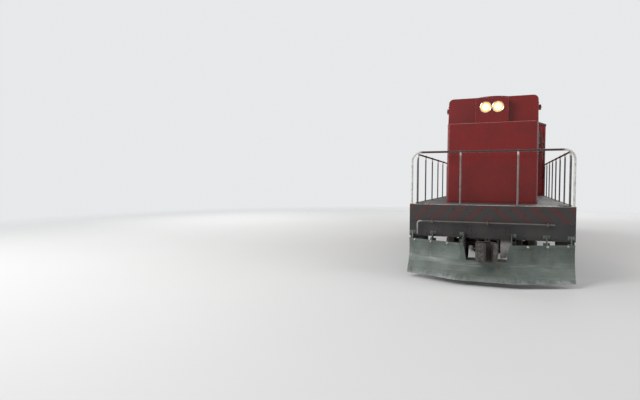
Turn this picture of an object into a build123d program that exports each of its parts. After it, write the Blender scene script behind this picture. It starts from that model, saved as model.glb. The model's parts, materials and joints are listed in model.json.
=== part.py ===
from build123d import *
import os
from math import sqrt

os.makedirs("parts", exist_ok=True)

# Narrow-gauge four-axle diesel locomotive, in millimetres.
# +Y points to the cab end, -Y to the snow plough end, +X to the right as seen from the plough.
# Z is 0 where the wheel flanges touch a flat floor, and the rail top lies one flange height above it.

# Heights, all counted from the rail top and then lifted by the flange
flange_height = 25.0
rail_top = flange_height
deck_top = rail_top + 1211.0
sill_bottom = rail_top + 658.0
coupler_height = rail_top + 520.0
hood_ledge = rail_top + 2700.0
hood_top = rail_top + 3210.0
handrail_height = 905.0
cab_eaves = rail_top + 3305.0
cab_crown = rail_top + 3560.0

# Lengths along the locomotive
deck_half_length = 5100.0
platform_depth = 990.0
rear_platform_depth = 950.0
truck_centre = 2650.0
truck_half_wheelbase = 1000.0
hood_front = -deck_half_length + platform_depth
cab_rear = deck_half_length - rear_platform_depth
cab_length = 2250.0
cab_front = cab_rear - cab_length

# Widths
track_gauge = 914.0
deck_half_width = 1300.0
hood_half_width = 794.5
cab_half_width = 1290.0

# Plates and gaps
deck_plate = 12.0
end_plate = 25.0
hood_wall = 50.0
cab_wall = 60.0
door_gap = 6.0
pin_gap = 0.5
seat_gap = 0.3
deck_under = deck_top - deck_plate

# Wheels, axles and journals, each wheel described from its own axle
tread_radius = 419.0
tread_cone = 4.0
wheel_back = track_gauge / 2 - 27.0
wheel_width = 127.0
rim_depth = 62.0
web_thickness = 26.0
hub_radius = 112.0
hub_overhang = 12.0
axle_radius = 75.0
journal_radius = 60.0
journal_end = 765.0
axle_height = tread_radius + flange_height


def lengthwise(x):
    """Plane across the width at x, whose local axes are Y and Z."""
    return Plane(origin=(x, 0, 0), x_dir=(0, 1, 0), z_dir=(1, 0, 0))


def crosswise(y):
    """Plane across the length at y, whose local axes are X and Z, facing the plough end."""
    return Plane(origin=(0, y, 0), x_dir=(1, 0, 0), z_dir=(0, -1, 0))


def block(x_span, y_span, z_span, mode=Mode.ADD):
    """A box between two values on each axis."""
    centre = [(span[0] + span[1]) / 2 for span in (x_span, y_span, z_span)]
    size = [span[1] - span[0] for span in (x_span, y_span, z_span)]
    with Locations(Location(tuple(centre))):
        Box(size[0], size[1], size[2], mode=mode)


# Wheelsets: an axle with its two coned wheels, turned as one body
wheel_front = wheel_back + wheel_width
flange_root = wheel_back + 34.0
flange_tip = tread_radius + flange_height
web_back = wheel_back + wheel_width / 2 - web_thickness / 2
rim_radius = tread_radius - rim_depth
wheelset_outline = [  # distance from the middle of the axle, radius
    (0, 0),
    (0, axle_radius),
    (wheel_back - hub_overhang, axle_radius),
    (wheel_back - hub_overhang, hub_radius),
    (web_back, hub_radius),
    (web_back, rim_radius),
    (wheel_back, rim_radius),
    (wheel_back, flange_tip - 12.0),
    (wheel_back + 8.0, flange_tip),
    (wheel_back + 20.0, flange_tip),
    (flange_root, tread_radius),
    (wheel_front, tread_radius - tread_cone),
    (wheel_front, rim_radius),
    (web_back + web_thickness, rim_radius),
    (web_back + web_thickness, hub_radius),
    (wheel_front + hub_overhang, hub_radius),
    (wheel_front + hub_overhang, journal_radius),
    (journal_end, journal_radius),
    (journal_end, 0),
]
axle_places = [
    (1, -truck_centre - truck_half_wheelbase),
    (2, -truck_centre + truck_half_wheelbase),
    (3, truck_centre - truck_half_wheelbase),
    (4, truck_centre + truck_half_wheelbase),
]
for number, axle_y in axle_places:
    with BuildPart() as wheelset:
        with BuildSketch(crosswise(axle_y)):
            with BuildLine():
                Polyline([(x, axle_height + r) for x, r in wheelset_outline], close=True)
            make_face()
        revolve(axis=Axis((0, axle_y, axle_height), (1, 0, 0)))
        mirror(about=Plane.YZ)
    wheelset.part.label = f"wheelset_{number}"
    export_step(wheelset.part, f"parts/wheelset_{number}.step")

# Trucks: cast side frames, bolster with its centre bowl, and the brake shoes hung from the frames
side_frame_inner = 665.0
side_frame_width = 95.0
side_frame_top = rail_top + 835.0
side_frame_beam = 160.0
side_frame_half_length = 1500.0
pedestal_half_gap = 110.5
pedestal_leg = 85.0
pedestal_bottom = axle_height - 130.0
bolster_half_length = 200.0
bolster_bottom = rail_top + 615.0
centre_plate_level = rail_top + 905.0
bowl_radius = 190.0
shoe_gap = 7.0
shoe_thickness = 45.0
hanger_seat = 27.0
shoe_half_angle = 15.0
shoe_width = 80.0
hanger_width = 40.0
hanger_top = side_frame_top - side_frame_beam / 2
brake_cylinder_radius = 90.0
brake_cylinder_length = 260.0
side_frame_outer = side_frame_inner + side_frame_width
beam_bottom = side_frame_top - side_frame_beam
side_frame_end_depth = 110.0

# Axle boxes ride on the journals between the pedestals and carry the coil springs
box_half_width = pedestal_half_gap - seat_gap
box_half_height = 120.0
box_inner = 640.0
box_outer = 795.0
spring_radius = 52.0
spring_spacing = 55.0

# Traction motors hang on the axle by two bearing arms and rest on the bolster by a nose
motor_half_width = 300.0
motor_half_height = 215.0
motor_axle_gap = 40.0
motor_arm_width = 70.0
motor_arm_radius = 118.0
gear_case_inner = 298.0
gear_case_width = 78.0
gear_case_small = 130.0
gear_case_large = 205.0
motor_shaft = 500.0
motor_nose = 120.0
motor_nose_depth = 30.0

shoe_x = (flange_root + wheel_front) / 2
shoe_inner = tread_radius + shoe_gap
shoe_outer = shoe_inner + shoe_thickness

for end_name, truck_y in (("front", -truck_centre), ("rear", truck_centre)):
    axle_ys = [truck_y - truck_half_wheelbase, truck_y + truck_half_wheelbase]
    with BuildPart() as truck_frame:
        with BuildSketch(lengthwise(side_frame_inner)):
            with Locations((truck_y, side_frame_top - side_frame_beam / 2)):
                Rectangle(2 * side_frame_half_length, side_frame_beam)
            for axle_y in axle_ys:
                for leg in (-1, 1):
                    leg_y = axle_y + leg * (pedestal_half_gap + pedestal_leg / 2)
                    with Locations((leg_y, (pedestal_bottom + side_frame_top) / 2)):
                        Rectangle(pedestal_leg, side_frame_top - pedestal_bottom)
        extrude(amount=side_frame_width)
        beam_ends = truck_frame.edges().filter_by(Axis.X).group_by(Axis.Z)[-2]
        fillet(beam_ends.sort_by(Axis.Y)[0::len(beam_ends) - 1], side_frame_end_depth)
        block(
            (0, side_frame_inner),
            (truck_y - bolster_half_length, truck_y + bolster_half_length),
            (bolster_bottom, side_frame_top),
        )
        for axle_y in axle_ys:
            outward = 1 if axle_y > truck_y else -1
            shoe_start = (0 if outward > 0 else 180) - shoe_half_angle
            with BuildSketch(lengthwise(shoe_x - shoe_width / 2)):
                with BuildLine():
                    inner_arc = CenterArc((axle_y, axle_height), shoe_inner, shoe_start, 2 * shoe_half_angle)
                    outer_arc = CenterArc((axle_y, axle_height), shoe_outer, shoe_start, 2 * shoe_half_angle)
                    Line(inner_arc @ 0, outer_arc @ 0)
                    Line(inner_arc @ 1, outer_arc @ 1)
                make_face()
            extrude(amount=shoe_width)
            hanger_y = axle_y + outward * (shoe_inner + hanger_seat)
            block(
                (shoe_x - hanger_width / 2, shoe_x + hanger_width / 2),
                (hanger_y - hanger_width / 2, hanger_y + hanger_width / 2),
                (axle_height, hanger_top),
            )
            block(
                (shoe_x - hanger_width / 2, side_frame_inner),
                (hanger_y - hanger_width / 2, hanger_y + hanger_width / 2),
                (hanger_top - hanger_width, hanger_top),
            )
        frame_middle = side_frame_top - side_frame_beam / 2
        with Locations(Location((side_frame_outer, truck_y, frame_middle), (90, 0, 0))):
            Cylinder(brake_cylinder_radius, brake_cylinder_length)
        mirror(about=Plane.YZ)
        with Locations((0, truck_y, side_frame_top)):
            Cylinder(
                bowl_radius,
                centre_plate_level - seat_gap - side_frame_top,
                align=(Align.CENTER, Align.CENTER, Align.MIN),
            )
    truck_frame.part.label = f"{end_name}_truck_frame"
    export_step(truck_frame.part, f"parts/{end_name}_truck_frame.step")

    with BuildPart() as axle_boxes:
        for axle_y in axle_ys:
            block(
                (box_inner, box_outer),
                (axle_y - box_half_width, axle_y + box_half_width),
                (axle_height - box_half_height, axle_height + box_half_height),
            )
            with Locations(Location((box_inner, axle_y, axle_height), (0, 90, 0))):
                Cylinder(
                    journal_radius + pin_gap,
                    journal_end + seat_gap - box_inner,
                    align=(Align.CENTER, Align.CENTER, Align.MIN),
                    mode=Mode.SUBTRACT,
                )
            for side in (-1, 1):
                with Locations((
                    side_frame_inner + side_frame_width / 2,
                    axle_y + side * spring_spacing,
                    axle_height + box_half_height,
                )):
                    Cylinder(
                        spring_radius,
                        beam_bottom - axle_height - box_half_height,
                        align=(Align.CENTER, Align.CENTER, Align.MIN),
                    )
        mirror(about=Plane.YZ)
    axle_boxes.part.label = f"{end_name}_axle_boxes"
    export_step(axle_boxes.part, f"parts/{end_name}_axle_boxes.step")

    with BuildPart() as motors:
        for axle_y in axle_ys:
            inward = -1 if axle_y > truck_y else 1
            case_near = axle_y + inward * (axle_radius + motor_axle_gap)
            case_far = truck_y - inward * (bolster_half_length + motor_arm_width)
            low_y, high_y = sorted((case_near, case_far))
            with BuildSketch(crosswise(high_y)):
                with Locations((0, axle_height)):
                    Rectangle(2 * motor_half_width, 2 * motor_half_height)
            extrude(amount=high_y - low_y)
            nose_low, nose_high = sorted((case_far, truck_y - inward * bolster_half_length))
            nose_z = (bolster_bottom, bolster_bottom + motor_nose_depth)
            block((-motor_nose, motor_nose), (nose_low, nose_high), nose_z)
            for side in (-1, 1):
                arm_x = side * (motor_half_width - motor_arm_width) - (motor_arm_width if side < 0 else 0)
                with BuildSketch(lengthwise(arm_x)):
                    with Locations((axle_y, axle_height)):
                        Circle(motor_arm_radius)
                    with Locations(((axle_y + case_near) / 2 + inward * motor_arm_width / 2, axle_height)):
                        Rectangle(abs(axle_y - case_near) + motor_arm_width, 2 * motor_arm_radius)
                extrude(amount=motor_arm_width)
            shaft_y = axle_y + inward * motor_shaft
            with BuildSketch(lengthwise(gear_case_inner)):
                with BuildLine():
                    small_arc = CenterArc((shaft_y, axle_height), gear_case_small, 90, 180 * inward * -1)
                    large_arc = CenterArc((axle_y, axle_height), gear_case_large, 90, 180 * inward)
                    Line(small_arc @ 0, large_arc @ 0)
                    Line(small_arc @ 1, large_arc @ 1)
                make_face()
            extrude(amount=gear_case_width)
            with Locations(Location((0, axle_y, axle_height), (0, 90, 0))):
                Cylinder(axle_radius + pin_gap, 2 * wheel_back, mode=Mode.SUBTRACT)
    motors.part.label = f"{end_name}_traction_motors"
    export_step(motors.part, f"parts/{end_name}_traction_motors.step")

# Underframe: two centre sills under a top plate, bolsters with centre plates, and cross bearers that
# reach out to the side sills
centre_sill_x = 300.0
centre_sill_width = 110.0
centre_sill_bottom = rail_top + 935.0
side_sill_width = 90.0
side_sill_depth = 190.0
bolster_width = 520.0
bolster_depth = 210.0
bearer_width = 120.0
bearer_places = [-1120.0, 0.0, 1120.0]

# Step wells at the four corners, shared by the side sills, the deck and the steps
step_well_start = deck_half_length - 540.0
step_well_end = deck_half_length - 60.0
step_well_depth = 230.0
step_plate = 14.0

sill_end = deck_half_length - end_plate
side_sill_inner = cab_half_width - side_sill_width
with BuildPart() as underframe:
    block(
        (centre_sill_x - centre_sill_width / 2, centre_sill_x + centre_sill_width / 2),
        (-sill_end, sill_end),
        (centre_sill_bottom, deck_under),
    )
    block((0, centre_sill_x), (-sill_end, sill_end), (deck_under - 3 * deck_plate, deck_under))
    for truck_y in (-truck_centre, truck_centre):
        block(
            (0, side_sill_inner),
            (truck_y - bolster_width / 2, truck_y + bolster_width / 2),
            (deck_under - bolster_depth, deck_under),
        )
    for bearer_y in bearer_places:
        block(
            (0, side_sill_inner),
            (bearer_y - bearer_width / 2, bearer_y + bearer_width / 2),
            (deck_under - side_sill_depth, deck_under),
        )
    mirror(about=Plane.YZ)
    for truck_y in (-truck_centre, truck_centre):
        with Locations((0, truck_y, centre_plate_level)):
            Cylinder(
                bowl_radius,
                deck_under - bolster_depth - centre_plate_level,
                align=(Align.CENTER, Align.CENTER, Align.MIN),
            )
underframe.part.label = "underframe"
export_step(underframe.part, "parts/underframe.step")

# Side sills: a deep edge beam along each side, from step to step
with BuildPart() as side_sills:
    block(
        (side_sill_inner, cab_half_width),
        (-step_well_start + step_plate, step_well_start - step_plate),
        (deck_under - side_sill_depth, deck_under),
    )
    mirror(about=Plane.YZ)
side_sills.part.label = "side_sills"
export_step(side_sills.part, "parts/side_sills.step")

# Deck plate, cut away over the four step wells
with BuildPart() as deck:
    block((-deck_half_width, deck_half_width), (-deck_half_length, deck_half_length), (deck_under, deck_top))
    for side in (-1, 1):
        for end in (-1, 1):
            well_x = sorted((side * deck_half_width, side * (deck_half_width - step_well_depth)))
            well_y = sorted((end * step_well_start, end * step_well_end))
            block(well_x, well_y, (deck_under, deck_top), mode=Mode.SUBTRACT)
deck.part.label = "deck"
export_step(deck.part, "parts/deck.step")

# Corner steps: two hanging side plates and three treads in each of the four wells
step_bottom = rail_top + 340.0
step_treads = [rail_top + 360.0, rail_top + 640.0, rail_top + 920.0]
step_inset = 10.0
with BuildPart() as corner_steps:
    for side in (-1, 1):
        for end in (-1, 1):
            step_x = sorted(
                (side * (deck_half_width - step_inset), side * (deck_half_width - step_well_depth))
            )
            for plate_y in (step_well_start - step_plate, step_well_end):
                plate_span = sorted((end * plate_y, end * (plate_y + step_plate)))
                block(step_x, plate_span, (step_bottom, deck_under))
            tread_span = sorted((end * step_well_start, end * step_well_end))
            for tread_z in step_treads:
                block(step_x, tread_span, (tread_z, tread_z + step_plate))
            back_x = sorted((
                side * (deck_half_width - step_well_depth),
                side * (deck_half_width - step_well_depth - step_plate),
            ))
            back_y = sorted((end * (step_well_start - step_plate), end * (step_well_end + step_plate)))
            block(back_x, back_y, (step_bottom, deck_under))
corner_steps.part.label = "corner_steps"
export_step(corner_steps.part, "parts/corner_steps.step")

# End sills: full-width plates under the deck, each with the pocket and pin that hold the coupler's
# shank, and with the lever that lifts its lock
pocket_half_width = 150.0
pocket_plate = 22.0
pocket_half_height = 115.0
pocket_length = 760.0
coupler_pivot = deck_half_length - end_plate - 560.0
pivot_pin_radius = 32.0
lever_height = rail_top + 924.0
lever_gap = 80.0
lever_radius = 13.0
lever_left = -1147.0
lever_right = 1000.0
lever_handle_bottom = rail_top + 700.0
lever_bracket = 24.0
lever_bracket_places = [-900.0, 0.0, 900.0]
lever_bend = 50.0
with BuildPart() as front_end_sill:
    block((-deck_half_width, deck_half_width), (-deck_half_length, -sill_end), (sill_bottom, deck_under))
    pocket_y = (-sill_end, pocket_length - sill_end)
    pocket_top = coupler_height + pocket_half_height
    for side in (-1, 1):
        block(
            sorted((side * pocket_half_width, side * (pocket_half_width + pocket_plate))),
            pocket_y,
            (coupler_height - pocket_half_height - pocket_plate, pocket_top),
        )
        block(
            sorted((side * (centre_sill_x - pocket_plate), side * centre_sill_x)),
            pocket_y,
            (pocket_top, centre_sill_bottom),
        )
    for plate_z, plate_half in (
        (pocket_top, centre_sill_x),
        (coupler_height - pocket_half_height - pocket_plate, pocket_half_width + pocket_plate),
    ):
        block((-plate_half, plate_half), pocket_y, (plate_z, plate_z + pocket_plate))
    with Locations((0, -coupler_pivot, coupler_height)):
        Cylinder(pivot_pin_radius, 2 * pocket_half_height)
    with BuildLine():
        lever_path = FilletPolyline(
            (lever_right, -deck_half_length - lever_gap, lever_height),
            (lever_left, -deck_half_length - lever_gap, lever_height),
            (lever_left, -deck_half_length - lever_gap, lever_handle_bottom),
            radius=lever_bend,
        )
    with BuildSketch(Plane(lever_path @ 0, z_dir=lever_path % 0)):
        Circle(lever_radius)
    sweep(path=lever_path)
    for bracket_x in lever_bracket_places:
        block(
            (bracket_x - lever_bracket / 2, bracket_x + lever_bracket / 2),
            (-deck_half_length - lever_gap - lever_bracket, -deck_half_length),
            (lever_height - lever_bracket, lever_height + lever_bracket),
        )
with BuildPart() as rear_end_sill:
    add(front_end_sill.part.rotate(Axis.Z, 180))
    board_level = rail_top + 330.0
    board_depth = 230.0
    board_thickness = 45.0
    board_inner = 420.0
    board_outer = 1180.0
    for side in (-1, 1):
        board_x = sorted((side * board_inner, side * board_outer))
        board_y = (deck_half_length, deck_half_length + board_depth)
        block(board_x, board_y, (board_level, board_level + board_thickness))
        for hanger_x in (board_inner + board_thickness, board_outer - board_thickness):
            block(
                sorted((side * hanger_x, side * (hanger_x + board_thickness / 2))),
                (deck_half_length, deck_half_length + board_thickness),
                (board_level, sill_bottom + 2 * board_thickness),
            )
front_end_sill.part.label = "front_end_sill"
export_step(front_end_sill.part, "parts/front_end_sill.step")
rear_end_sill.part.label = "rear_end_sill"
export_step(rear_end_sill.part, "parts/rear_end_sill.step")

# Snow plough: a curved blade over a sloping toe, swept round three facets, notched for the coupler
blade_plate = 16.0
blade_reach = 1290.0
blade_flat_half = 400.0
blade_flat_y = -deck_half_length - 460.0
blade_outer_y = -deck_half_length - 40.0
blade_levels = {  # height, and forward reach from the blade's line
    "toe": (rail_top + 50.0, 190.0),
    "crease": (rail_top + 260.0, 45.0),
    "middle": (rail_top + 440.0, 0.0),
    "lip": (rail_top + 620.0, 15.0),
}
blade_bottom = blade_levels["toe"][0]
blade_top = blade_levels["lip"][0]
notch_half_top = 350.0
notch_half_floor = 300.0
notch_floor = rail_top + 350.0
rib_plate = 16.0
rib_places = [notch_half_top + 15.0, 880.0, 1230.0]
rib_top = sill_bottom + 90.0
rib_heel = sill_bottom - 110.0
wing_slope = (blade_outer_y - blade_flat_y) / (blade_reach - blade_flat_half)
wing_overrun = 200.0


def blade_line(x):
    """Where the blade's line runs at a distance x from the middle."""
    return blade_flat_y + wing_slope * max(0.0, x - blade_flat_half)


with BuildPart() as snow_plough:
    with BuildLine():
        end_x = blade_reach + wing_overrun
        blade_path = Polyline(
            (-end_x, blade_line(end_x), blade_bottom),
            (-blade_flat_half, blade_flat_y, blade_bottom),
            (blade_flat_half, blade_flat_y, blade_bottom),
            (end_x, blade_line(end_x), blade_bottom),
        )
    blade_run = blade_path % 0
    blade_forward = Vector(blade_run.Y, -blade_run.X, 0)
    with BuildSketch(Plane(origin=blade_path @ 0, x_dir=blade_forward, z_dir=blade_run * -1)):
        front = {name: (reach, z - blade_bottom) for name, (z, reach) in blade_levels.items()}
        back = {name: (reach - blade_plate, z - blade_bottom) for name, (z, reach) in blade_levels.items()}
        with BuildLine():
            Polyline(front["crease"], front["toe"], back["toe"], back["crease"])
            ThreePointArc(back["crease"], back["middle"], back["lip"])
            Line(back["lip"], front["lip"])
            ThreePointArc(front["lip"], front["middle"], front["crease"])
        make_face()
    sweep(path=blade_path, transition=Transition.RIGHT)
    block(
        (-blade_reach, blade_reach),
        (-2 * deck_half_length, 0),
        (blade_bottom, blade_top),
        mode=Mode.INTERSECT,
    )
    with BuildSketch(crosswise(-deck_half_length)):
        with BuildLine():
            Polyline(
                (-notch_half_top, blade_top + blade_plate),
                (-notch_half_floor, notch_floor),
                (notch_half_floor, notch_floor),
                (notch_half_top, blade_top + blade_plate),
                close=True,
            )
        make_face()
    extrude(amount=deck_half_length, mode=Mode.SUBTRACT)
    for rib_x in rib_places:
        wing = 0.0 if rib_x < blade_flat_half else wing_slope
        stretch = sqrt(1.0 + wing * wing)
        rib_front = [
            (blade_line(rib_x) - (blade_levels[name][1] - blade_plate / 2) * stretch, blade_levels[name][0])
            for name in ("crease", "middle", "lip")
        ]
        for side in (-1, 1):
            with BuildSketch(lengthwise(side * rib_x - (rib_plate if side < 0 else 0))):
                with BuildLine():
                    Polyline(
                        *rib_front,
                        (-deck_half_length - rib_plate, rib_top),
                        (-deck_half_length, rib_top),
                        (-deck_half_length, rib_heel),
                        close=True,
                    )
                make_face()
            extrude(amount=rib_plate)
    block(
        (-rib_places[0], rib_places[0]),
        (blade_flat_y, -deck_half_length - 2 * lever_gap),
        (notch_floor - rib_plate, notch_floor),
    )
snow_plough.part.label = "snow_plough"
export_step(snow_plough.part, "parts/snow_plough.step")

# End handrails: one bent pipe from corner to corner, with two stanchions and foot plates
rail_pipe = 18.0
stanchion_pipe = 14.0
rail_corner = 150.0
stanchion_x = 450.0
stanchion_ball = 24.0
foot_radius = 42.0
foot_thickness = 10.0
post_x = deck_half_width - 30.0
end_post_inset = 32.0
rail_z = deck_top + handrail_height
for end_name, end in (("front", -1), ("rear", 1)):
    post_y = end * (deck_half_length - end_post_inset)
    with BuildPart() as end_handrail:
        with BuildLine():
            rail_path = FilletPolyline(
                (-post_x, post_y, deck_top),
                (-post_x, post_y, rail_z),
                (post_x, post_y, rail_z),
                (post_x, post_y, deck_top),
                radius=rail_corner,
            )
        with BuildSketch(Plane(rail_path @ 0, z_dir=rail_path % 0)):
            Circle(rail_pipe)
        sweep(path=rail_path)
        with Locations((-stanchion_x, post_y, deck_top), (stanchion_x, post_y, deck_top)):
            Cylinder(stanchion_pipe, handrail_height, align=(Align.CENTER, Align.CENTER, Align.MIN))
        with Locations((-stanchion_x, post_y, rail_z), (stanchion_x, post_y, rail_z)):
            Sphere(stanchion_ball)
        foot_places = [(x, post_y, deck_top) for x in (-post_x, -stanchion_x, stanchion_x, post_x)]
        with Locations(*foot_places):
            Cylinder(foot_radius, foot_thickness, align=(Align.CENTER, Align.CENTER, Align.MIN))
        block(
            (-deck_half_width, deck_half_width),
            (post_y - 2 * foot_radius, post_y + 2 * foot_radius),
            (deck_top, rail_z + stanchion_ball),
            mode=Mode.INTERSECT,
        )
        if end < 0:
            trim_span = (-2 * deck_half_length, -deck_half_length)
        else:
            trim_span = (deck_half_length, 2 * deck_half_length)
        block((-deck_half_width, deck_half_width), trim_span, (deck_top, rail_z), mode=Mode.SUBTRACT)
    end_handrail.part.label = f"{end_name}_handrail"
    export_step(end_handrail.part, f"parts/{end_name}_handrail.step")

# Walkway handrails: a long pipe bent down to the deck at both ends, with a ball on every stanchion
post_spacing = 885.0
rail_bays = 7
side_rail_start = -deck_half_length + 580.0
side_rail_end = side_rail_start + rail_bays * post_spacing
with BuildPart() as side_handrails:
    for side in (-1, 1):
        with BuildLine():
            rail_path = FilletPolyline(
                (side * post_x, side_rail_start, deck_top),
                (side * post_x, side_rail_start, rail_z),
                (side * post_x, side_rail_end, rail_z),
                (side * post_x, side_rail_end, deck_top),
                radius=rail_corner,
            )
        with BuildSketch(Plane(rail_path @ 0, z_dir=rail_path % 0)):
            Circle(rail_pipe)
        sweep(path=rail_path)
        for bay in range(1, rail_bays):
            stanchion_y = side_rail_start + bay * post_spacing
            with Locations((side * post_x, stanchion_y, deck_top)):
                Cylinder(stanchion_pipe, handrail_height, align=(Align.CENTER, Align.CENTER, Align.MIN))
            with Locations((side * post_x, stanchion_y, rail_z)):
                Sphere(stanchion_ball)
side_handrails.part.label = "side_handrails"
export_step(side_handrails.part, "parts/side_handrails.step")

# Hood nose: a welded box with a ledge, above which the front is set back and leans
nose_length = 410.0
nose_setback = 150.0
nose_lean = 100.0
nose_corner = 60.0
roof_corner = 90.0
roof_skirt = 160.0
roof_sheet = 40.0
nose_rear = hood_front + nose_length
roof_side_bottom = hood_top - roof_skirt


def nose_profile(inset):
    """Side outline of the nose, moved in by a wall on its front, ledge and top."""
    lean = nose_lean / (hood_top - hood_ledge)
    upper_front = hood_front + nose_setback + inset
    return [
        (hood_front + inset, deck_top),
        (hood_front + inset, hood_ledge - inset),
        (upper_front, hood_ledge - inset),
        (upper_front + lean * (hood_top - hood_ledge), hood_top - inset),
        (nose_rear, hood_top - inset),
        (nose_rear, deck_top),
    ]


with BuildPart() as hood_nose:
    with BuildSketch(Plane.YZ):
        with BuildLine():
            Polyline(*nose_profile(0.0), close=True)
        make_face()
    extrude(amount=hood_half_width, both=True)
    lower_corners = hood_nose.edges().filter_by(Axis.Z).sort_by(Axis.Y)[0:2]
    fillet(lower_corners, nose_corner)
    shoulder = hood_nose.edges().filter_by(Axis.Y).group_by(Axis.Z)[-1]
    fillet(shoulder, roof_corner)
    with BuildSketch(Plane.YZ):
        with BuildLine():
            Polyline(*nose_profile(hood_wall), close=True)
        make_face()
    extrude(amount=hood_half_width - hood_wall, both=True, mode=Mode.SUBTRACT)
hood_nose.part.label = "hood_nose"
export_step(hood_nose.part, "parts/hood_nose.step")

# Hood side walls: framed openings for two pairs of doors, and a slatted radiator intake at the front
leaf_width = 420.0
leaf_thickness = 40.0
door_bottom = deck_top + 130.0
door_height = 1420.0
door_post = 130.0
first_opening = -2780.0
opening_width = 2 * leaf_width + 3 * door_gap
opening_pitch = opening_width + door_post
opening_starts = [first_opening, first_opening + opening_pitch]
hinge_radius = 8.0
hinge_proud = 10.0
hinge_length = 60.0
hinge_strap = 6.0
hinge_strap_length = 90.0
hinge_levels = [0.12, 0.5, 0.88]
fixed_knuckle = 26.0
fixed_strap_length = 22.0
leaf_pin_offset = door_gap / 2
intake_start = nose_rear + 130.0
intake_end = first_opening - 130.0
intake_bottom = deck_top + 480.0
intake_top = door_bottom + door_height
slat_pitch = 78.0
slat_depth = 56.0
slat_thickness = 8.0
slat_angle = 35.0


def hinge_block(place, along, outward, reach, rise, z_span):
    """A box given by its reach along the wall from the hinge line and its rise off the wall's face."""
    corners = [
        (place[0] + along[0] * u + outward[0] * v, place[1] + along[1] * u + outward[1] * v)
        for u in reach
        for v in rise
    ]
    x_span = (min(x for x, y in corners), max(x for x, y in corners))
    y_span = (min(y for x, y in corners), max(y for x, y in corners))
    block(x_span, y_span, z_span)


def hinge_half(place, along, outward, levels, moving):
    """Knuckles and straps of one half of a door's hinges; along points from the hinge line to the leaf."""
    centre_x = place[0] + outward[0] * hinge_proud
    centre_y = place[1] + outward[1] * hinge_proud
    if moving:
        spans = [(z - hinge_length / 2, z + hinge_length / 2) for z in levels]
        strap_reach = (leaf_pin_offset, leaf_pin_offset + hinge_strap_length)
        neck_reach = (0.0, leaf_pin_offset + hinge_radius)
    else:
        step = hinge_length / 2 + seat_gap
        spans = [(z + step, z + step + fixed_knuckle) for z in levels]
        spans += [(z - step - fixed_knuckle, z - step) for z in levels]
        strap_reach = (-leaf_pin_offset - fixed_strap_length, -leaf_pin_offset)
        neck_reach = (-leaf_pin_offset - hinge_radius, 0.0)
    for z_span in spans:
        with Locations((centre_x, centre_y, (z_span[0] + z_span[1]) / 2)):
            Cylinder(hinge_radius, z_span[1] - z_span[0])
        hinge_block(place, along, outward, strap_reach, (0.0, hinge_strap), z_span)
        hinge_block(place, along, outward, neck_reach, (hinge_strap / 3, hinge_proud), z_span)


def hood_hinge(side, start, at_start):
    """Hinge line on the hood's face for one leaf, and the direction from it to the leaf."""
    hinge_y = start + leaf_pin_offset if at_start else start + opening_width - leaf_pin_offset
    return (side * hood_half_width, hinge_y), (0, 1 if at_start else -1)


hood_hinge_levels = [door_bottom + share * door_height for share in hinge_levels]
for side_name, side in (("left", -1), ("right", 1)):
    wall_x = sorted((side * (hood_half_width - hood_wall), side * hood_half_width))
    with BuildPart() as hood_side:
        block(wall_x, (nose_rear, cab_front), (deck_top, roof_side_bottom))
        for start in opening_starts:
            block(
                wall_x,
                (start, start + opening_width),
                (door_bottom - door_gap, door_bottom + door_height + door_gap),
                mode=Mode.SUBTRACT,
            )
            for at_start in (True, False):
                place, along = hood_hinge(side, start, at_start)
                hinge_half(place, along, (side, 0), hood_hinge_levels, moving=False)
        block(wall_x, (intake_start, intake_end), (intake_bottom, intake_top), mode=Mode.SUBTRACT)
        slat_count = int((intake_top - intake_bottom) / slat_pitch)
        slat_x = side * (hood_half_width - hood_wall / 2)
        for number in range(slat_count):
            slat_z = intake_bottom + (number + 0.5) * slat_pitch
            slat_place = (slat_x, (intake_start + intake_end) / 2, slat_z)
            with Locations(Location(slat_place, (0, side * slat_angle, 0))):
                Box(slat_depth, intake_end - intake_start + slat_thickness, slat_thickness)
    hood_side.part.label = f"hood_{side_name}_side"
    export_step(hood_side.part, f"parts/hood_{side_name}_side.step")

# Radiator cores behind the intakes, each flanged against the hood side's inner face, clear of the slats
core_depth = 98.0
core_flange = 40.0
core_setback = 6.0
core_face = hood_half_width - hood_wall
with BuildPart() as radiator_cores:
    block(
        (core_face - core_setback - core_depth, core_face),
        (intake_start - core_flange, intake_end + core_flange),
        (intake_bottom - core_flange, intake_top + core_flange),
    )
    block(
        (core_face - core_setback, core_face),
        (intake_start - slat_thickness, intake_end + slat_thickness),
        (intake_bottom - slat_thickness, intake_top + slat_thickness),
        mode=Mode.SUBTRACT,
    )
    mirror(about=Plane.YZ)
radiator_cores.part.label = "radiator_cores"
export_step(radiator_cores.part, "parts/radiator_cores.step")

# Hood doors: flush leaves on three hinges, with a lever latch by the free edge
latch_width = 26.0
latch_height = 130.0
latch_reach = 28.0
latch_inset = 55.0
latch_bottom = door_bottom + (door_height - latch_height) / 2
for side_name, side in (("left", -1), ("right", 1)):
    number = 0
    for start in opening_starts:
        for at_start in (True, False):
            number += 1
            place, along = hood_hinge(side, start, at_start)
            leaf_near = place[1] + along[1] * leaf_pin_offset
            leaf_far = leaf_near + along[1] * leaf_width
            latch_y = leaf_far - along[1] * latch_inset
            with BuildPart() as door:
                block(
                    sorted((side * (hood_half_width - leaf_thickness), side * hood_half_width)),
                    sorted((leaf_near, leaf_far)),
                    (door_bottom, door_bottom + door_height),
                )
                hinge_half(place, along, (side, 0), hood_hinge_levels, moving=True)
                block(
                    sorted((side * hood_half_width, side * (hood_half_width + latch_reach))),
                    (latch_y - latch_width / 2, latch_y + latch_width / 2),
                    (latch_bottom, latch_bottom + latch_height),
                )
            door.part.label = f"hood_door_{side_name}_{number}"
            export_step(door.part, f"parts/hood_door_{side_name}_{number}.step")

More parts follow.
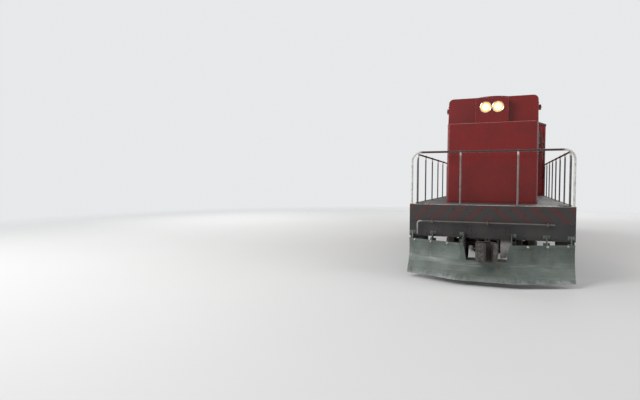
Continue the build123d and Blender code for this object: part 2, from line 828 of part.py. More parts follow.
# Hood roof: a sheet with rounded shoulders, a fan well with its guard, and the fan's bearing bridge
fan_y = (nose_rear + first_opening) / 2
fan_radius = 340.0
fan_clearance = 22.0
well_wall = 16.0
well_height = 62.0
guard_bar = 10.0
guard_rings = 4
guard_spokes = 8
bridge_width = 90.0
bridge_depth = 55.0
bridge_bottom = hood_top - 155.0
boss_radius = 62.0
boss_top = bridge_bottom + 80.0
fan_shaft_radius = 24.0
well_radius = fan_radius + fan_clearance
with BuildPart() as hood_roof:
    with BuildSketch(crosswise(cab_front)):
        with Locations((0, hood_top - roof_skirt / 2)):
            Rectangle(2 * hood_half_width, roof_skirt)
    extrude(amount=cab_front - nose_rear)
    fillet(hood_roof.edges().filter_by(Axis.Y).group_by(Axis.Z)[-1], roof_corner)
    block(
        (hood_wall - hood_half_width, hood_half_width - hood_wall),
        (nose_rear, cab_front),
        (hood_top - roof_skirt, hood_top - roof_sheet),
        mode=Mode.SUBTRACT,
    )
    with Locations((0, fan_y, hood_top - roof_sheet)):
        Cylinder(
            well_radius + well_wall,
            roof_sheet + well_height,
            align=(Align.CENTER, Align.CENTER, Align.MIN),
        )
        Cylinder(
            well_radius,
            roof_sheet + well_height,
            align=(Align.CENTER, Align.CENTER, Align.MIN),
            mode=Mode.SUBTRACT,
        )
    with BuildSketch(Plane.XY.offset(hood_top + well_height - guard_bar)):
        with Locations((0, fan_y)):
            for ring in range(guard_rings, 0, -1):
                ring_radius = ring * well_radius / guard_rings
                Circle(ring_radius + guard_bar / 2)
                Circle(ring_radius - guard_bar / 2, mode=Mode.SUBTRACT)
            with PolarLocations(well_radius / 2, guard_spokes):
                Rectangle(well_radius, guard_bar)
    extrude(amount=guard_bar)
    block(
        (hood_wall / 2 - hood_half_width, hood_half_width - hood_wall / 2),
        (fan_y - bridge_width / 2, fan_y + bridge_width / 2),
        (bridge_bottom, bridge_bottom + bridge_depth),
    )
    with Locations((0, fan_y, bridge_bottom)):
        Cylinder(boss_radius, boss_top - bridge_bottom, align=(Align.CENTER, Align.CENTER, Align.MIN))
        Cylinder(
            fan_shaft_radius + pin_gap,
            boss_top - bridge_bottom,
            align=(Align.CENTER, Align.CENTER, Align.MIN),
            mode=Mode.SUBTRACT,
        )
hood_roof.part.label = "hood_roof"
export_step(hood_roof.part, "parts/hood_roof.step")

# Radiator fan: six pitched blades on a hub, its shaft running down through the bridge
fan_blades = 6
fan_hub_radius = 80.0
fan_hub_height = 70.0
blade_chord = 120.0
blade_sheet = 8.0
blade_pitch = 25.0
fan_hub_bottom = boss_top + 8.0
with BuildPart() as radiator_fan:
    with Locations((0, fan_y, fan_hub_bottom)):
        Cylinder(fan_hub_radius, fan_hub_height, align=(Align.CENTER, Align.CENTER, Align.MIN))
    with Locations((0, fan_y, bridge_bottom)):
        Cylinder(
            fan_shaft_radius,
            fan_hub_bottom - bridge_bottom,
            align=(Align.CENTER, Align.CENTER, Align.MIN),
        )
    with Locations((0, fan_y, fan_hub_bottom + fan_hub_height / 2)):
        with PolarLocations((fan_radius + fan_hub_radius / 2) / 2, fan_blades):
            Box(
                fan_radius - fan_hub_radius / 2,
                blade_chord,
                blade_sheet,
                rotation=(blade_pitch, 0, 0),
            )
radiator_fan.part.label = "radiator_fan"
export_step(radiator_fan.part, "parts/radiator_fan.step")

# Engine and generator inside the hood, as one plain block on the deck
engine_half_width = 430.0
engine_start = -2500.0
engine_end = 1300.0
engine_height = 1380.0
with BuildPart() as engine_block:
    block(
        (-engine_half_width, engine_half_width),
        (engine_start, engine_end),
        (deck_top, deck_top + engine_height),
    )
engine_block.part.label = "engine_block"
export_step(engine_block.part, "parts/engine_block.step")

# Exhaust stack on the hood roof
stack_y = -900.0
stack_radius = 115.0
stack_wall = 10.0
stack_height = 190.0
stack_flange = 30.0
stack_flange_thickness = 14.0
with BuildPart() as exhaust_stack:
    with Locations((0, stack_y, hood_top)):
        Cylinder(
            stack_radius + stack_flange,
            stack_flange_thickness,
            align=(Align.CENTER, Align.CENTER, Align.MIN),
        )
        Cylinder(stack_radius, stack_height, align=(Align.CENTER, Align.CENTER, Align.MIN))
    with Locations((0, stack_y, hood_top + stack_flange_thickness)):
        Cylinder(
            stack_radius - stack_wall,
            stack_height,
            align=(Align.CENTER, Align.CENTER, Align.MIN),
            mode=Mode.SUBTRACT,
        )
exhaust_stack.part.label = "exhaust_stack"
export_step(exhaust_stack.part, "parts/exhaust_stack.step")

# Air horn: three trumpets on a bracket behind the stack, two forward and one back
horn_y = 1450.0
horn_bracket_half_width = 150.0
horn_bracket_depth = 60.0
horn_bracket_height = 90.0
horn_throat = 14.0
horn_mouth = 58.0
trumpets = [  # x, length, direction along the locomotive
    (-105.0, 330.0, -1),
    (0.0, 400.0, 1),
    (105.0, 260.0, -1),
]
with BuildPart() as air_horn:
    block(
        (-horn_bracket_half_width, horn_bracket_half_width),
        (horn_y - horn_bracket_depth / 2, horn_y + horn_bracket_depth / 2),
        (hood_top, hood_top + horn_bracket_height),
    )
    for trumpet_x, trumpet_length, heading in trumpets:
        trumpet_z = hood_top + horn_bracket_height
        with BuildSketch(lengthwise(trumpet_x)):
            with BuildLine():
                Polyline(
                    (horn_y + heading * trumpet_length, trumpet_z + horn_mouth),
                    (horn_y + heading * trumpet_length, trumpet_z),
                    (horn_y - heading * horn_bracket_depth, trumpet_z),
                    (horn_y - heading * horn_bracket_depth, trumpet_z + 2 * horn_throat),
                    (horn_y, trumpet_z + 2 * horn_throat),
                    (horn_y, trumpet_z + horn_throat),
                    (horn_y + heading * trumpet_length * 0.7, trumpet_z + 1.8 * horn_throat),
                    close=True,
                )
            make_face()
        revolve(axis=Axis((trumpet_x, horn_y, trumpet_z), (0, 1, 0)))
air_horn.part.label = "air_horn"
export_step(air_horn.part, "parts/air_horn.step")

# Headlights: a twin-lamp box on the nose ledge, and a smaller one over the rear cab door
lamp_x = 107.0
lamp_radius = 88.0
lamp_depth = 70.0
lamp_bezel = 104.0
lamp_bezel_reach = 14.0
lens_inset = 10.0
headlight_half_width = 287.0
headlight_height = 449.0
headlight_overhang = 15.0
front_lamp_z = rail_top + 2990.0
rear_lamp_z = cab_crown - 270.0
rear_headlight_half_width = 250.0
rear_headlight_half_height = 118.0
rear_headlight_depth = 130.0
lean_per_height = nose_lean / (hood_top - hood_ledge)
headlight_front = hood_front + headlight_overhang
with BuildPart() as headlights:
    with BuildSketch(Plane.YZ):
        with BuildLine():
            box_back = hood_front + nose_setback
            Polyline(
                (headlight_front, hood_ledge),
                (box_back, hood_ledge),
                (box_back + lean_per_height * headlight_height, hood_ledge + headlight_height),
                (headlight_front, hood_ledge + headlight_height),
                close=True,
            )
        make_face()
    extrude(amount=headlight_half_width, both=True)
    box_front = headlights.faces().sort_by(Axis.Y)[0]
    fillet(box_front.edges(), hinge_radius)
    block(
        (-rear_headlight_half_width, rear_headlight_half_width),
        (cab_rear, cab_rear + rear_headlight_depth),
        (rear_lamp_z - rear_headlight_half_height, rear_lamp_z + rear_headlight_half_height),
    )
    for x in (-lamp_x, lamp_x):
        with Locations(Location((x, headlight_front, front_lamp_z), (90, 0, 0))):
            Cylinder(lamp_radius, 2 * lamp_depth, mode=Mode.SUBTRACT)
        with Locations(Location((x, cab_rear + rear_headlight_depth, rear_lamp_z), (90, 0, 0))):
            Cylinder(lamp_radius, 2 * lamp_depth, mode=Mode.SUBTRACT)
headlights.part.label = "headlights"
export_step(headlights.part, "parts/headlights.step")

with BuildPart() as headlight_lamps:
    lamp_faces = [
        (headlight_front, -1, front_lamp_z),
        (cab_rear + rear_headlight_depth, 1, rear_lamp_z),
    ]
    for face_y, outward, z in lamp_faces:
        for x in (-lamp_x, lamp_x):
            can_middle = face_y - outward * lamp_depth / 2
            with Locations(Location((x, can_middle, z), (90, 0, 0))):
                Cylinder(lamp_radius, lamp_depth)
            with Locations(Location((x, face_y + outward * lamp_bezel_reach / 2, z), (90, 0, 0))):
                Cylinder(lamp_bezel, lamp_bezel_reach)
                Cylinder(lamp_radius - lens_inset, lamp_bezel_reach, mode=Mode.SUBTRACT)
headlight_lamps.part.label = "headlight_lamps"
export_step(headlight_lamps.part, "parts/headlight_lamps.step")

# Cab roof: a shallow arc whose inner surface all four walls reach
roof_plate = 50.0
roof_overhang = 45.0
roof_rise = cab_crown - cab_eaves
roof_radius = (deck_half_width**2 + roof_rise**2) / (2 * roof_rise)
roof_centre = cab_crown - roof_radius
with BuildPart() as cab_roof:
    with BuildSketch(crosswise(cab_rear + roof_overhang)):
        with Locations((0, roof_centre)):
            Circle(roof_radius)
            Circle(roof_radius - roof_plate, mode=Mode.SUBTRACT)
        with Locations((0, cab_crown - roof_radius)):
            Rectangle(2 * deck_half_width, 4 * roof_radius, mode=Mode.INTERSECT)
        with Locations((0, roof_centre - roof_radius)):
            Rectangle(4 * roof_radius, 2 * roof_radius, mode=Mode.SUBTRACT)
    extrude(amount=cab_length + 2 * roof_overhang)
cab_roof.part.label = "cab_roof"
export_step(cab_roof.part, "parts/cab_roof.step")

# Cab walls: the side walls run the full length, the end walls stand between them
side_window = {
    "start": cab_front + 520.0,
    "end": cab_rear - 520.0,
    "bottom": rail_top + 2250.0,
    "top": rail_top + 3050.0,
}
end_window_inner = 870.0
end_window_outer = 1180.0
front_window_bottom = rail_top + 2425.0
front_window_top = rail_top + 3110.0
rear_window_inner = 500.0
rear_window_outer = 1080.0
rear_window_bottom = rail_top + 2330.0
front_door_inner = 830.0
front_door_outer = 1222.0
rear_door_half_width = 300.0
cab_door_bottom = deck_top + 40.0
front_door_top = rail_top + 3180.0
rear_door_top = rear_lamp_z - rear_headlight_half_height - 60.0
inner_half_width = cab_half_width - cab_wall
wall_top = cab_crown + roof_plate
cab_leaf = 45.0
cab_latch_height = 120.0
cab_hinge_levels = [0.1, 0.5, 0.9]
door_window_margin = 75.0
rear_door_edge = -rear_door_half_width
cab_doors = {  # hinge edge, free edge, outside face, outward direction, top, window bottom
    "cab_front_door": (
        front_door_inner, front_door_outer, cab_front, -1, front_door_top, front_window_bottom
    ),
    "cab_rear_door": (
        rear_door_edge, -rear_door_edge, cab_rear, 1, rear_door_top, rear_window_bottom
    ),
}


def cab_hinges(top_z):
    """Heights of a cab door's hinges."""
    return [cab_door_bottom + share * (top_z - cab_door_bottom) for share in cab_hinge_levels]


side_pane = (side_window["start"], side_window["end"])
side_pane_z = (side_window["bottom"], side_window["top"])


def wall_outline(y_rear, x_span):
    """Outline of a wall from the deck up to the roof's inner surface, drawn at its rear face."""
    with BuildSketch(crosswise(y_rear)) as outline:
        with Locations(((x_span[0] + x_span[1]) / 2, (deck_top + wall_top) / 2)):
            Rectangle(x_span[1] - x_span[0], wall_top - deck_top)
        with Locations((0, roof_centre)):
            Circle(roof_radius - roof_plate, mode=Mode.INTERSECT)
    return outline.sketch


with BuildPart() as cab_side_walls:
    extrude(wall_outline(cab_rear, (inner_half_width, cab_half_width)), amount=cab_length)
    block((inner_half_width, cab_half_width), side_pane, side_pane_z, mode=Mode.SUBTRACT)
    mirror(about=Plane.YZ)
cab_side_walls.part.label = "cab_side_walls"
export_step(cab_side_walls.part, "parts/cab_side_walls.step")

front_wall_y = (cab_front, cab_front + cab_wall)
with BuildPart() as cab_front_wall:
    extrude(wall_outline(cab_front + cab_wall, (-inner_half_width, inner_half_width)), amount=cab_wall)
    block(
        (-end_window_outer, -end_window_inner),
        front_wall_y,
        (front_window_bottom, front_window_top),
        mode=Mode.SUBTRACT,
    )
    block(
        (front_door_inner - door_gap, inner_half_width),
        front_wall_y,
        (cab_door_bottom - door_gap, front_door_top + door_gap),
        mode=Mode.SUBTRACT,
    )
    hinge_line = (front_door_inner - leaf_pin_offset, cab_front)
    hinge_half(hinge_line, (1, 0), (0, -1), cab_hinges(front_door_top), moving=False)
cab_front_wall.part.label = "cab_front_wall"
export_step(cab_front_wall.part, "parts/cab_front_wall.step")

rear_wall_y = (cab_rear - cab_wall, cab_rear)
with BuildPart() as cab_rear_wall:
    extrude(wall_outline(cab_rear, (-inner_half_width, inner_half_width)), amount=cab_wall)
    for side in (-1, 1):
        block(
            sorted((side * rear_window_inner, side * rear_window_outer)),
            rear_wall_y,
            (rear_window_bottom, front_window_top),
            mode=Mode.SUBTRACT,
        )
    block(
        (-rear_door_half_width - door_gap, rear_door_half_width + door_gap),
        rear_wall_y,
        (cab_door_bottom - door_gap, rear_door_top + door_gap),
        mode=Mode.SUBTRACT,
    )
    hinge_line = (rear_door_edge - leaf_pin_offset, cab_rear)
    hinge_half(hinge_line, (1, 0), (0, 1), cab_hinges(rear_door_top), moving=False)
cab_rear_wall.part.label = "cab_rear_wall"
export_step(cab_rear_wall.part, "parts/cab_rear_wall.step")

# Cab windows: one pane in the middle of the wall's thickness at each fixed opening
pane = 8.0
with BuildPart() as cab_windows:
    for side in (-1, 1):
        pane_x = side * (cab_half_width - cab_wall / 2)
        block((pane_x - pane / 2, pane_x + pane / 2), side_pane, side_pane_z)
        block(
            sorted((side * rear_window_inner, side * rear_window_outer)),
            (cab_rear - (cab_wall + pane) / 2, cab_rear - (cab_wall - pane) / 2),
            (rear_window_bottom, front_window_top),
        )
    block(
        (-end_window_outer, -end_window_inner),
        (cab_front + (cab_wall - pane) / 2, cab_front + (cab_wall + pane) / 2),
        (front_window_bottom, front_window_top),
    )
cab_windows.part.label = "cab_windows"
export_step(cab_windows.part, "parts/cab_windows.step")

# Cab doors: one beside the hood onto the walkway, one in the rear wall onto the platform
for name, (hinge_x, free_x, face_y, outward, top_z, window_z) in cab_doors.items():
    with BuildPart() as door:
        block(
            (hinge_x, free_x),
            sorted((face_y, face_y - outward * cab_leaf)),
            (cab_door_bottom, top_z),
        )
        block(
            (hinge_x + door_window_margin, free_x - door_window_margin),
            sorted((face_y, face_y - outward * cab_leaf)),
            (window_z, min(top_z - door_window_margin, front_window_top)),
            mode=Mode.SUBTRACT,
        )
        hinge_half((hinge_x - leaf_pin_offset, face_y), (1, 0), (0, outward), cab_hinges(top_z), moving=True)
        latch_x = free_x - latch_inset
        latch_z = (cab_door_bottom + top_z) / 2
        block(
            (latch_x - latch_width / 2, latch_x + latch_width / 2),
            sorted((face_y, face_y + outward * latch_reach)),
            (latch_z - cab_latch_height, latch_z),
        )
    door.part.label = name
    export_step(door.part, f"parts/{name}.step")

# Control stand and two seats, seen through the cab windows
stand_x = (-1080.0, -620.0)
stand_y = (cab_front + 330.0, cab_front + 700.0)
stand_height = 900.0
desk_height = 1080.0
lever_length = 170.0
lever_places = [-960.0, -860.0, -760.0]
with BuildPart() as control_stand:
    block(stand_x, stand_y, (deck_top, deck_top + stand_height))
    with BuildSketch(lengthwise(stand_x[0])):
        with BuildLine():
            Polyline(
                (stand_y[0], deck_top + stand_height),
                (stand_y[1], deck_top + stand_height),
                (stand_y[0] + (stand_y[1] - stand_y[0]) / 2, deck_top + desk_height),
                (stand_y[0], deck_top + desk_height),
                close=True,
            )
        make_face()
    extrude(amount=stand_x[1] - stand_x[0])
    for handle_x in lever_places:
        with Locations((handle_x, (stand_y[0] + stand_y[1]) / 2, deck_top + stand_height)):
            Cylinder(
                lever_radius,
                lever_length + desk_height - stand_height,
                align=(Align.CENTER, Align.CENTER, Align.MIN),
            )
control_stand.part.label = "control_stand"
export_step(control_stand.part, "parts/control_stand.step")

seat_places = [(-850.0, cab_front + 1250.0), (850.0, cab_front + 1250.0)]
seat_width = 440.0
seat_level = 520.0
cushion_thickness = 90.0
back_height = 430.0
seat_foot_radius = 150.0
seat_post_radius = 38.0
seat_pan = 15.0
with BuildPart() as cab_seats:
    for seat_x, seat_y in seat_places:
        with Locations((seat_x, seat_y, deck_top)):
            Cylinder(seat_foot_radius, seat_pan, align=(Align.CENTER, Align.CENTER, Align.MIN))
            Cylinder(seat_post_radius, seat_level, align=(Align.CENTER, Align.CENTER, Align.MIN))
        block(
            (seat_x - seat_width / 2, seat_x + seat_width / 2),
            (seat_y - seat_width / 2, seat_y + seat_width / 2 + seat_pan),
            (deck_top + seat_level, deck_top + seat_level + seat_pan),
        )
        block(
            (seat_x - seat_width / 4, seat_x + seat_width / 4),
            (seat_y + seat_width / 2, seat_y + seat_width / 2 + seat_pan),
            (deck_top + seat_level, deck_top + seat_level + seat_pan + back_height),
        )
cab_seats.part.label = "cab_seats"
export_step(cab_seats.part, "parts/cab_seats.step")

with BuildPart() as seat_cushions:
    for seat_x, seat_y in seat_places:
        cushion_base = deck_top + seat_level + seat_pan + seat_gap
        block(
            (seat_x - seat_width / 2, seat_x + seat_width / 2),
            (seat_y - seat_width / 2, seat_y + seat_width / 2 - cushion_thickness - seat_gap),
            (cushion_base, cushion_base + cushion_thickness),
        )
        block(
            (seat_x - seat_width / 2, seat_x + seat_width / 2),
            (seat_y + seat_width / 2 - cushion_thickness, seat_y + seat_width / 2 - seat_gap),
            (cushion_base, cushion_base + back_height),
        )
seat_cushions.part.label = "seat_cushions"
export_step(seat_cushions.part, "parts/seat_cushions.step")

# Fuel tank under the centre sills, between the trucks
tank_half_length = 1000.0
tank_half_width = 1150.0
tank_bottom = rail_top + 330.0
tank_bevel = 160.0
tank_round = 60.0
with BuildPart() as fuel_tank:
    block(
        (-tank_half_width, tank_half_width),
        (-tank_half_length, tank_half_length),
        (tank_bottom, centre_sill_bottom),
    )
    lengthwise_edges = fuel_tank.edges().filter_by(Axis.Y).group_by(Axis.Z)
    chamfer(lengthwise_edges[0], tank_bevel)
    fillet(fuel_tank.edges().filter_by(Axis.Y).group_by(Axis.Z)[-1], tank_round)
fuel_tank.part.label = "fuel_tank"
export_step(fuel_tank.part, "parts/fuel_tank.step")

# Air reservoirs slung under the deck by two straps each, ahead of the tank
reservoir_radius = 118.0
reservoir_x = 1065.0
reservoir_start = -2330.0
reservoir_end = -1240.0
reservoir_dome = 70.0
strap_width = 60.0
strap_thickness = 7.0
strap_places = [0.22, 0.78]
with BuildPart() as air_reservoirs:
    reservoir_z = deck_under - reservoir_radius - strap_thickness
    for side in (-1, 1):
        reservoir_middle = (side * reservoir_x, (reservoir_start + reservoir_end) / 2, reservoir_z)
        with Locations(Location(reservoir_middle, (90, 0, 0))):
            Cylinder(reservoir_radius, reservoir_end - reservoir_start)
        for share in strap_places:
            strap_y = reservoir_start + share * (reservoir_end - reservoir_start)
            with Locations(Location((side * reservoir_x, strap_y, reservoir_z), (90, 0, 0))):
                Cylinder(reservoir_radius + strap_thickness, strap_width)
            block(
                (side * reservoir_x - reservoir_radius / 2, side * reservoir_x + reservoir_radius / 2),
                (strap_y - strap_width / 2, strap_y + strap_width / 2),
                (reservoir_z, deck_under),
            )
    end_rims = air_reservoirs.edges().filter_by(GeomType.CIRCLE).group_by(Axis.Y)
    fillet(end_rims[0] + end_rims[-1], reservoir_dome)
air_reservoirs.part.label = "air_reservoirs"
export_step(air_reservoirs.part, "parts/air_reservoirs.step")

# Battery boxes hung from the side sills behind the tank
battery_x = (960.0, 1285.0)
battery_y = (1240.0, 2180.0)
battery_bottom = rail_top + 560.0
battery_round = 14.0
with BuildPart() as battery_boxes:
    for side in (-1, 1):
        battery_span = sorted((side * battery_x[0], side * battery_x[1]))
        block(battery_span, battery_y, (battery_bottom, deck_under - side_sill_depth))
    fillet(battery_boxes.edges().filter_by(Axis.Z), battery_round)
battery_boxes.part.label = "battery_boxes"
export_step(battery_boxes.part, "parts/battery_boxes.step")

# Couplers: a shank that swings on the pocket's pin, a head with two ears, and the knuckle between them
shank_half_width = 60.0
shank_tail = 75.0
neck_reach = 1000.0
head_half_height = 140.0
head_half_width = 150.0
knuckle_x = 92.0
knuckle_reach = 1180.0
knuckle_pin = 20.0
ear_radius = 58.0
ear_height = 60.0
knuckle_hub = 50.0
knuckle_swing_gap = 6.0
face_reach = 1335.0
throat_x = -55.0
guard_x = -150.0
head_outline = [  # reach from the pivot, offset to the knuckle's side
    (neck_reach, -shank_half_width),
    (neck_reach + 110.0, guard_x),
    (face_reach - 60.0, guard_x - 10.0),
    (face_reach - 10.0, guard_x - 30.0),
    (face_reach - 20.0, guard_x + 30.0),
    (face_reach - 90.0, throat_x - 30.0),
    (knuckle_reach - ear_radius - 10.0, throat_x),
    (knuckle_reach - ear_radius - 10.0, head_half_width),
    (neck_reach + 60.0, head_half_width - 20.0),
    (neck_reach, shank_half_width),
]
knuckle_outline = [
    (knuckle_reach + 10.0, knuckle_hub),
    (face_reach - 45.0, knuckle_hub + 4.0),
    (face_reach, knuckle_hub - 26.0),
    (face_reach + 5.0, -70.0),
    (face_reach - 25.0, -104.0),
    (face_reach - 70.0, -92.0),
    (face_reach - 78.0, -40.0),
    (knuckle_reach + 30.0, -knuckle_hub + 6.0),
]
for end_name, end in (("front", -1), ("rear", 1)):
    coupler_plane = Plane(
        origin=(0, end * coupler_pivot, coupler_height),
        x_dir=(0, end, 0),
        z_dir=(0, 0, 1),
    )
    with BuildPart() as coupler:
        with BuildSketch(coupler_plane.offset(-shank_half_width)):
            with Locations(((neck_reach + 20.0 - shank_tail) / 2, 0)):
                Rectangle(neck_reach + 20.0 + shank_tail, 2 * shank_half_width)
            Circle(pivot_pin_radius + pin_gap, mode=Mode.SUBTRACT)
        extrude(amount=2 * shank_half_width)
        with BuildSketch(coupler_plane.offset(-head_half_height)):
            with BuildLine():
                Polyline(*[(reach, -offset) for reach, offset in head_outline], close=True)
            make_face()
        extrude(amount=2 * head_half_height)
        for level in (-head_half_height, head_half_height - ear_height):
            with BuildSketch(coupler_plane.offset(level)):
                with Locations((knuckle_reach, -knuckle_x)):
                    Circle(ear_radius)
                with Locations((knuckle_reach - ear_radius / 2, -knuckle_x)):
                    Rectangle(ear_radius + 20.0, 2 * ear_radius)
            extrude(amount=ear_height)
        with BuildSketch(coupler_plane.offset(-head_half_height)):
            with Locations((knuckle_reach, -knuckle_x)):
                Circle(knuckle_pin)
        extrude(amount=2 * head_half_height)
    coupler.part.label = f"{end_name}_coupler"
    export_step(coupler.part, f"parts/{end_name}_coupler.step")

    ear_clear = head_half_height - ear_height - knuckle_swing_gap
    with BuildPart() as knuckle:
        with BuildSketch(coupler_plane.offset(-head_half_height)):
            with BuildLine():
                Polyline(*[(reach, -knuckle_x - offset) for reach, offset in knuckle_outline], close=True)
            make_face()
            with Locations((knuckle_reach, -knuckle_x)):
                Circle(ear_radius + knuckle_swing_gap, mode=Mode.SUBTRACT)
        extrude(amount=2 * head_half_height)
        with BuildSketch(coupler_plane.offset(-ear_clear)):
            with BuildLine():
                Polyline(*[(reach, -knuckle_x - offset) for reach, offset in knuckle_outline], close=True)
            make_face()
            with Locations((knuckle_reach, -knuckle_x)):
                Circle(knuckle_hub)
                Circle(knuckle_pin + pin_gap, mode=Mode.SUBTRACT)
        extrude(amount=2 * ear_clear)
    knuckle.part.label = f"{end_name}_knuckle"
    export_step(knuckle.part, f"parts/{end_name}_knuckle.step")
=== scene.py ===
import math

import bmesh
import bpy
import json
import numpy as np
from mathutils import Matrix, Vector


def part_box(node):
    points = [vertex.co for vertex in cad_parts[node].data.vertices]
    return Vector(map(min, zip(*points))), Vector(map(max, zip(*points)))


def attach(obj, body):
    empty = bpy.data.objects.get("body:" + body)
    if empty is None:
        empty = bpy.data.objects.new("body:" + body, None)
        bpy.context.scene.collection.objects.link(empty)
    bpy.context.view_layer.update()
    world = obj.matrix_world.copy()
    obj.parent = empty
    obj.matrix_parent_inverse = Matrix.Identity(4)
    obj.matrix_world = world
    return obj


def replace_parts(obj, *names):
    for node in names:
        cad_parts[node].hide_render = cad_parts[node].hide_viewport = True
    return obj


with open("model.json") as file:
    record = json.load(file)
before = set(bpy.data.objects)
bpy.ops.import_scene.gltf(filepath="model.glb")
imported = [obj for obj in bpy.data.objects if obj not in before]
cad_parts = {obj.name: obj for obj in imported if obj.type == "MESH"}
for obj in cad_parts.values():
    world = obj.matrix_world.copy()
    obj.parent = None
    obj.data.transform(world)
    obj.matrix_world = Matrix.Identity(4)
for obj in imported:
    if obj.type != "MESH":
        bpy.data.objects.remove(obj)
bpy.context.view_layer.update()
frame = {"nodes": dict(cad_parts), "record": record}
body_of = {node: body for body, held in frame["record"]["behaviour"]["bodies"].items() for node in held}
bpy.context.scene.view_settings.view_transform = "Standard"

# Studio floor: a seamless pale sheet of matt board that the locomotive stands on.
# It is not part of the object; far away it fades out into the pale background.
floor_half_width = 70.0
fade_start, fade_end = 8.0, 20.0


class Value:
    """A number or colour inside a material. Each sign or method adds the node of that name."""

    def __init__(self, finish, output):
        self.finish = finish
        self.output = output

    def math(self, operation, *others):
        """What a Math node makes of this value and others."""
        return self.finish.math(operation, self, *others)

    def __add__(self, other):
        return self.math("ADD", other)

    def __sub__(self, other):
        return self.math("SUBTRACT", other)

    def __rsub__(self, other):
        return self.finish.math("SUBTRACT", other, self)

    def __mul__(self, other):
        return self.math("MULTIPLY", other)

    def __truediv__(self, other):
        return self.math("DIVIDE", other)

    def __abs__(self):
        return self.math("ABSOLUTE")

    __radd__ = __add__
    __rmul__ = __mul__

    def least(self, other):
        """The smaller of two values."""
        return self.math("MINIMUM", other)

    def distance(self, other):
        """How far a point lies from the centre: the root of the sum of its two squared coordinates."""
        return (self * self + other * other).math("SQRT")

    def rise(self, low, high):
        """0 up to low, 1 from high on, and a smooth step between; low may be the larger of the two."""
        sockets = {"Value": self, "From Min": low, "From Max": high}
        return self.finish.add("ShaderNodeMapRange", sockets, interpolation_type="SMOOTHSTEP")


class Finish:
    """One material with its slot, its nodes, its surface shader and the steps that most finishes share."""

    def __init__(self, name, slot=None, **constants):
        self.material = bpy.data.materials.new(name)
        self.material.use_nodes = True
        self.slot = slot
        self.tree = self.material.node_tree
        self.shader = self.tree.nodes["Principled BSDF"]
        self.place = self.add("ShaderNodeTexCoord", {}, "Object")
        for socket, value in constants.items():
            self.shader.inputs[socket.replace("_", " ")].default_value = value

    def add(self, kind, sockets, output=0, **settings):
        """Adds a node of one kind, sets it up and feeds its sockets; one of its outputs comes back."""
        node = self.tree.nodes.new(kind)
        for key, value in settings.items():
            setattr(node, key, value)
        for key, value in sockets.items():
            self.feed(node.inputs[key], value)
        return Value(self, node.outputs[output])

    def feed(self, socket, value):
        """Links a value made by nodes to a socket, or writes a plain one into it, opaque if a colour."""
        if isinstance(value, Value):
            self.tree.links.new(value.output, socket)
        else:
            socket.default_value = (*value, 1.0) if socket.type == "RGBA" else value

    def math(self, operation, *values):
        """What a Math node makes of one or two values."""
        return self.add("ShaderNodeMath", dict(enumerate(values)), operation=operation)

    def axes(self):
        """The three coordinates of the point in the locomotive's own frame, in metres."""
        return [self.add("ShaderNodeSeparateXYZ", {0: self.place}, axis) for axis in range(3)]

    def noise(self, scale, detail=3.0, roughness=0.55, stretch=None):
        """Cloudy noise from 0 to 1; stretch multiplies each axis, so a small number draws it out that way."""
        place = self.place
        if stretch:
            place = self.add("ShaderNodeMapping", {"Vector": place, "Scale": stretch})
        sockets = {"Vector": place, "Scale": scale, "Detail": detail, "Roughness": roughness}
        return self.add("ShaderNodeTexNoise", sockets)

    def mix(self, share, first, second, *layers):
        """One colour changing to another as share goes from 0 to 1; layers of (share, colour) lie over it."""
        sockets = {0: share, 6: first, 7: second}
        colour = self.add("ShaderNodeMix", sockets, 2, data_type="RGBA", clamp_factor=True)
        for layer_share, layer in layers:
            colour = self.mix(layer_share, colour, layer)
        return colour

    def facing(self, axis):
        """How far the surface looks along one axis, from -1 to 1."""
        normal = self.add("ShaderNodeNewGeometry", {}, "Normal")
        return self.add("ShaderNodeSeparateXYZ", {0: normal}, axis)

    def edges(self, radius):
        """1 on a sharp edge, 0 away from it: one less the dot product of true and rounded normal."""
        rounded = self.add("ShaderNodeBevel", {"Radius": radius}, samples=4)
        normal = self.add("ShaderNodeNewGeometry", {}, "Normal")
        same = self.add("ShaderNodeVectorMath", {0: rounded, 1: normal}, "Value", operation="DOT_PRODUCT")
        return (1 - same).rise(0.01, 0.12)

    def dents(self, height, depth):
        """Feeds a height, in shares of depth metres, to the surface's normal."""
        sockets = {"Height": height, "Distance": depth, "Strength": 1.0}
        self.feed(self.shader.inputs["Normal"], self.add("ShaderNodeBump", sockets))

    def surface(self, colour, roughness=None, metallic=None):
        """Feeds what changes over the surface to the shader."""
        for socket, value in (("Base Color", colour), ("Roughness", roughness), ("Metallic", metallic)):
            if value is not None:
                self.feed(self.shader.inputs[socket], value)


def placed(name, data):
    """The object of a mesh, lamp or camera, linked to the scene."""
    made = bpy.data.objects.new(name, data)
    bpy.context.scene.collection.objects.link(made)
    return made


board = Finish("studio_board", Roughness=0.95, Specular_IOR_Level=0.0)
board_x, board_y, _ = board.axes()
board.surface(board.mix(board.noise(0.35, 2.0).rise(0.3, 0.7) * 0.3, (0.77, 0.77, 0.76), (0.80, 0.80, 0.79)))
board.feed(board.shader.inputs["Alpha"], board_x.distance(board_y).rise(fade_end, fade_start))
floor_mesh = bpy.data.meshes.new("studio_floor")
floor_corners = floor_half_width * np.array([(-1, -1, 0), (1, -1, 0), (1, 1, 0), (-1, 1, 0)])
floor_mesh.from_pydata(floor_corners.tolist(), [], [(0, 1, 2, 3)])
floor_mesh.materials.append(board.material)
placed("studio_floor", floor_mesh)

